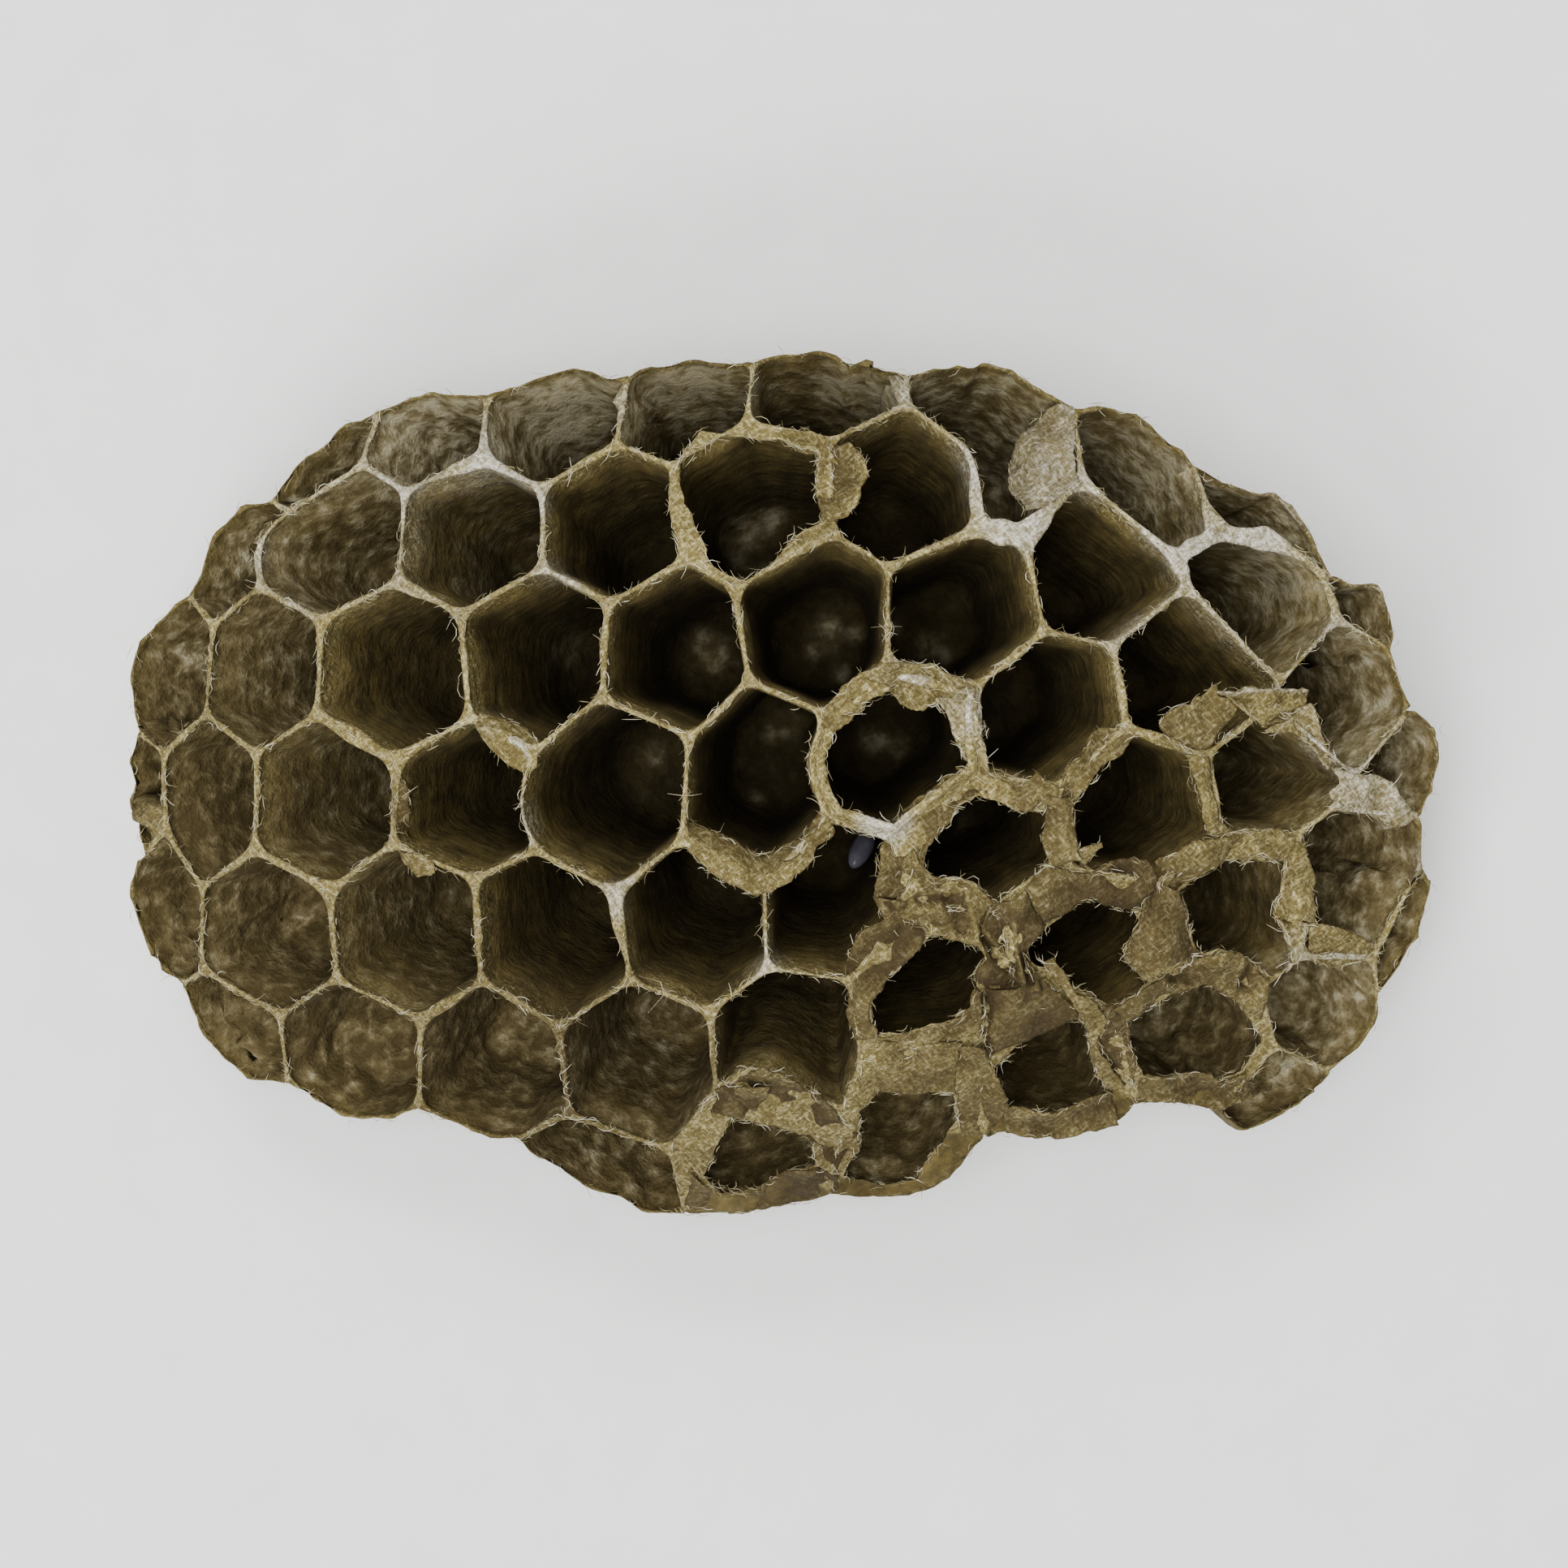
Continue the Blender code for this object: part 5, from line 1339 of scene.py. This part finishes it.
def crease(piece, onComb):  # bends a piece along the creases and paints its tones, with painted highlights on ridges and painted shade in cracks
    mesh = piece.data
    places = np.empty(len(mesh.vertices) * 3)
    mesh.vertices.foreach_get("co", places)
    places = places.reshape(-1, 3)
    spread = 1 + (dome["crownHeight"] - places[:, 2]) / photo["viewDistance"]
    x = photo["middle"] + places[:, 0] / spread / photo["pointWidth"]
    y = photo["middle"] - places[:, 1] / spread / photo["pointWidth"]
    values = np.zeros(len(places))
    if "tone" in mesh.attributes:
        mesh.attributes["tone"].data.foreach_get("value", values)
    else:
        mesh.attributes.new("tone", "FLOAT", "POINT")
    values += spotSums([spot for spot in tonesAndShade if onComb or spot[2] > creaseForm["broadTone"]], x, y)
    depths = np.empty(len(places))
    mesh.attributes["depthMm"].data.foreach_get("value", depths)
    shallow = depths < creaseForm["shallow"] if onComb else True
    # each crease's tone paints a highlight along a ridge and shade along a crack
    for width, rise, tone, way in creases:
        near = nearness(x, y, way, width) * shallow
        places[:, 2] += rise * mm * near
        values += tone * near
    cupValues = spotSums(cupTonesAndShade, x, y)
    if onComb:
        cups = np.empty(len(places))
        mesh.attributes["cup"].data.foreach_get("value", cups)
        for spotX, spotY, radius, amount in floorSpots:
            near = spotSums([(spotX, spotY, radius * creaseForm["spotSpread"], 1.0)], x, y)
            near *= depths > creaseForm["floors"]
            cups += creaseForm["spotBlotches"] * amount * near
            cupValues += near
        mesh.attributes["cup"].data.foreach_set("value", cups)
    mesh.attributes.new("cupPaleAndShade", "FLOAT", "POINT").data.foreach_set("value", cupValues)
    mesh.attributes["tone"].data.foreach_set("value", values)
    mesh.vertices.foreach_set("co", places.reshape(-1))
    mesh.update()


crease(comb, True)
crease(tornPaper, False)

print("felted fibres")
fibreForm = {
    "perMm": 6.4,  # fibres for each millimetre of rim
    "length": (0.3 * mm, 0.95 * mm),
    "radius": (0.011 * mm, 0.024 * mm),
    "rimWidth": 0.2 * mm,  # of the felt on rims, on the mouths of torn cells and on sheets
    "lipWidth": 0.14 * mm,
    "sheetWidth": 0.12 * mm,
    "scatter": 0.55,  # of that width
    "height": (0.01 * mm, 0.035 * mm),  # mean and spread
    "turn": 0.38,  # spread of the turn away from the rim's way
    "rise": (0.02, 0.16),
    "outerShare": 0.3,  # of the number on the rims along the comb's edge
    "tornShare": 0.5,  # and on torn paper
    "railSteps": 12,
    "hairs": 110,
    "hairLength": (0.8 * mm, 1.9 * mm),
    "hairRise": 0.5,
    "hairsWithin": 0.9,  # share of the way to the comb's edge, so that none stands out past it
    "sides": 3,
    "rings": 3,
    "taper": 0.75,
    "bowSide": (0, 0.22),
    "bowUp": (0.06, 0.1),
}
dice = np.random.default_rng(11)
paths = []  # each path: its points, how wide the felt is, and the share of fibres that it takes
for one, other in sorted(rimUses):
    if (one, other) == openRim:
        continue
    user = next(cell for cell in allCells if one in cellCorners(cell) and other in cellCorners(cell))
    centre = meanOf([cornerPoint(corner) for corner in cellCorners(user)])
    points = rimPoints(one, other, centre, combForm["segments"]) + [cornerPoint(other)]
    share = fibreForm["outerShare"] if rimUses[(one, other)] == 1 else 1
    paths.append(([rimPlace(point) for point in points], fibreForm["rimWidth"], share))
for ring in lipEdges:
    paths.append((ring + ring[:1], fibreForm["lipWidth"], fibreForm["tornShare"]))
for white, *rails in sheets.values():
    for rail in (rails[0], rails[-1]):
        steps = fibreForm["railSteps"]
        places = [alongRail(rail, step / steps) for step in range(steps + 1)]
        paths.append((places, fibreForm["sheetWidth"], fibreForm["tornShare"]))


def samplePath(points, count):  # random places and directions along a path
    points = np.array([tuple(point) for point in points])
    steps = np.diff(points, axis=0)
    lengths = np.linalg.norm(steps, axis=1)
    ends = np.cumsum(lengths)
    spots = dice.random(count) * ends[-1]
    which = np.minimum(np.searchsorted(ends, spots), len(lengths) - 1)
    share = 1 - (ends[which] - spots) / np.maximum(lengths[which], 1e-9)
    directions = steps[which] / np.maximum(lengths[which], 1e-9)[:, None]
    return points[which] + steps[which] * share[:, None], directions


starts, ways = [], []
for points, width, share in paths:
    total = sum((after - before).length for before, after in zip(points, points[1:]))
    count = max(2, int(total / mm * fibreForm["perMm"] * share))
    where, way = samplePath(points, count)
    across = np.cross(way, (0, 0, 1))
    where = where + across * dice.normal(0, width * fibreForm["scatter"], count)[:, None]
    where[:, 2] += dice.normal(*fibreForm["height"], count)
    starts.append(where)
    ways.append(way)
starts, ways = np.concatenate(starts), np.concatenate(ways)
feltCount = len(starts)
turn = dice.normal(0, fibreForm["turn"], feltCount)
rise = dice.normal(*fibreForm["rise"], feltCount)
across = np.cross(ways, (0, 0, 1))
ways = ways * np.cos(turn)[:, None] + across * np.sin(turn)[:, None]
ways[:, 2] += rise
inner = np.flatnonzero([edgeShare(Vector(start[:2])) < fibreForm["hairsWithin"] for start in starts])
chosen = dice.choice(inner, fibreForm["hairs"])
hairWays = dice.normal(0, 1, (fibreForm["hairs"], 3)) + (0, 0, fibreForm["hairRise"])
starts = np.concatenate([starts, starts[chosen]])
ways = np.concatenate([ways, hairWays])
ways /= np.linalg.norm(ways, axis=1)[:, None]
total = len(starts)
lengths = dice.uniform(*fibreForm["length"], total)
lengths[feltCount:] = dice.uniform(*fibreForm["hairLength"], total - feltCount)
radii = dice.uniform(*fibreForm["radius"], total)

bpy.ops.object.select_all(action="DESELECT")
bpy.ops.mesh.primitive_circle_add(vertices=fibreForm["sides"], radius=1, fill_type="NGON",
                                  location=(0, 0, -0.5))
fibres = bpy.context.object
fibres.name = "feltFibres"
bpy.ops.object.transform_apply(location=True)
bpy.ops.object.mode_set(mode="EDIT")
for step in range(fibreForm["rings"]):
    bpy.ops.mesh.select_all(action="SELECT")
    net = bmesh.from_edit_mesh(fibres.data)
    top = max(face.calc_center_median().z for face in net.faces)
    for face in net.faces:
        onTop = abs(face.calc_center_median().z - top) < 0.01
        face.select_set(len(face.verts) == fibreForm["sides"] and onTop)
    bpy.ops.mesh.extrude_region_move(TRANSFORM_OT_translate={"value": (0, 0, 1 / fibreForm["rings"])})
bpy.ops.mesh.select_all(action="SELECT")
bpy.ops.mesh.normals_make_consistent(inside=False)
bpy.ops.object.mode_set(mode="OBJECT")
perFibre = len(fibres.data.vertices)
bpy.ops.object.mode_set(mode="EDIT")
copies = 1
while copies < total:
    bpy.ops.mesh.select_all(action="SELECT")
    if copies * 2 > total:  # the last doubling takes only as many as are missing
        net = bmesh.from_edit_mesh(fibres.data)
        net.verts.ensure_lookup_table()
        wanted = (total - copies) * perFibre
        bpy.ops.mesh.select_all(action="DESELECT")
        for face in net.faces:
            face.select_set(max(vert.index for vert in face.verts) < wanted)
    bpy.ops.mesh.duplicate()
    copies = min(copies * 2, total)
bpy.ops.object.mode_set(mode="OBJECT")
local = np.empty(len(fibres.data.vertices) * 3)
fibres.data.vertices.foreach_get("co", local)
local = local.reshape(total, perFibre, 3)
side = np.cross(ways, (0, 0, 1))
side /= np.maximum(np.linalg.norm(side, axis=1), 1e-6)[:, None]
up = np.cross(ways, side)
z = local[:, :, 2]
thin = 1 - fibreForm["taper"] * np.abs(2 * z)
curve = (z * z * 4 - 0.3) * lengths[:, None]
bowSide = dice.normal(*fibreForm["bowSide"], total)[:, None] * curve
bowUp = dice.normal(*fibreForm["bowUp"], total)[:, None] * curve
place = starts[:, None, :] + ways[:, None, :] * (z * lengths[:, None])[:, :, None]
place += side[:, None, :] * (local[:, :, 0] * thin * radii[:, None] + bowSide)[:, :, None]
place += up[:, None, :] * (local[:, :, 1] * thin * radii[:, None] + bowUp)[:, :, None]
fibres.data.vertices.foreach_set("co", place.reshape(-1))
shades = np.repeat(dice.random(total), perFibre)
fibres.data.attributes.new("tone", "FLOAT", "POINT").data.foreach_set("value", shades)
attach(fibres, "root")
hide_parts("comb")
print("fibres", total, "triangles", triangles(fibres))

# loose wood fibre, bleached and brittle: each strand has its own shade between grey, straw and brown
woodFibre, tree = newMaterial("loose wood fibre")
strand = ramp(tree, painted(tree, "tone"), (0.0, "#4f4529"), (0.35, "#7d7350"), (0.75, "#a39a78"),
              (1.0, "#c9c3b0"))
dry = mapped(tree, clouds(tree, objectPlace(tree), 4000.0), 0.3, 0.7, 0.65, 0.9)
finishMaterial(tree, {"Base Color": strand, "Roughness": dry, "IOR": 1.5})
fibres.data.materials.append(woodFibre)

for piece in (comb, eggShell, tornPaper, fibres):
    piece.data.transform(Matrix.Translation(shift))

print("floor, lights and camera")
stage = {
    "floorSize": 2.4,
    "gap": 0.02 * mm,  # between the floor and the stalk's cut face
    "aim": (0, 0, 0.01),
    "room": (0.97, 0.97, 0.96, 1),
    "roomStrength": 0.45,
}
# each lamp: its place in metres, how wide it is and its power
lamps = {
    "wideLight": ((-0.08, 0.25, 0.36), 0.2, 1.15),
    "overheadLight": ((-0.06, -0.03, 0.6), 0.3, 3.7),
    "lowLight": ((-0.12, -0.26, 0.34), 0.2, 1.35),
}
bpy.ops.mesh.primitive_plane_add(size=stage["floorSize"], location=(0, 0, -stage["gap"]))
floor = bpy.context.object
floor.name = "paleFloor"
card, tree = newMaterial("pale card")
pale = ramp(tree, clouds(tree, objectPlace(tree), 300.0), (0.3, "#ededec"), (0.7, "#f1f1f0"))
finishMaterial(tree, {"Base Color": pale, "Roughness": 0.8})
floor.data.materials.append(card)

for name, (place, size, power) in lamps.items():
    bpy.ops.object.light_add(type="AREA", location=place)
    lamp = bpy.context.object
    lamp.name = name
    lamp.data.shape = "DISK"
    lamp.data.size = size
    lamp.data.energy = power
    lamp.rotation_euler = (Vector(stage["aim"]) - Vector(place)).to_track_quat("-Z", "Y").to_euler()

world = bpy.data.worlds.new("softRoom")
bpy.context.scene.world = world
world.use_nodes = True
background = world.node_tree.nodes["Background"]
background.inputs["Color"].default_value = stage["room"]
background.inputs["Strength"].default_value = stage["roomStrength"]

bpy.ops.object.camera_add(location=(shift.x, shift.y, dome["crownHeight"] + photo["viewDistance"]))
camera = bpy.context.object
camera.data.sensor_width = photo["sensor"]
camera.data.lens = photo["sensor"] * photo["viewDistance"] / (photo["frame"] * photo["pointWidth"])
camera.data.clip_start = photo["nearest"]
bpy.context.scene.camera = camera
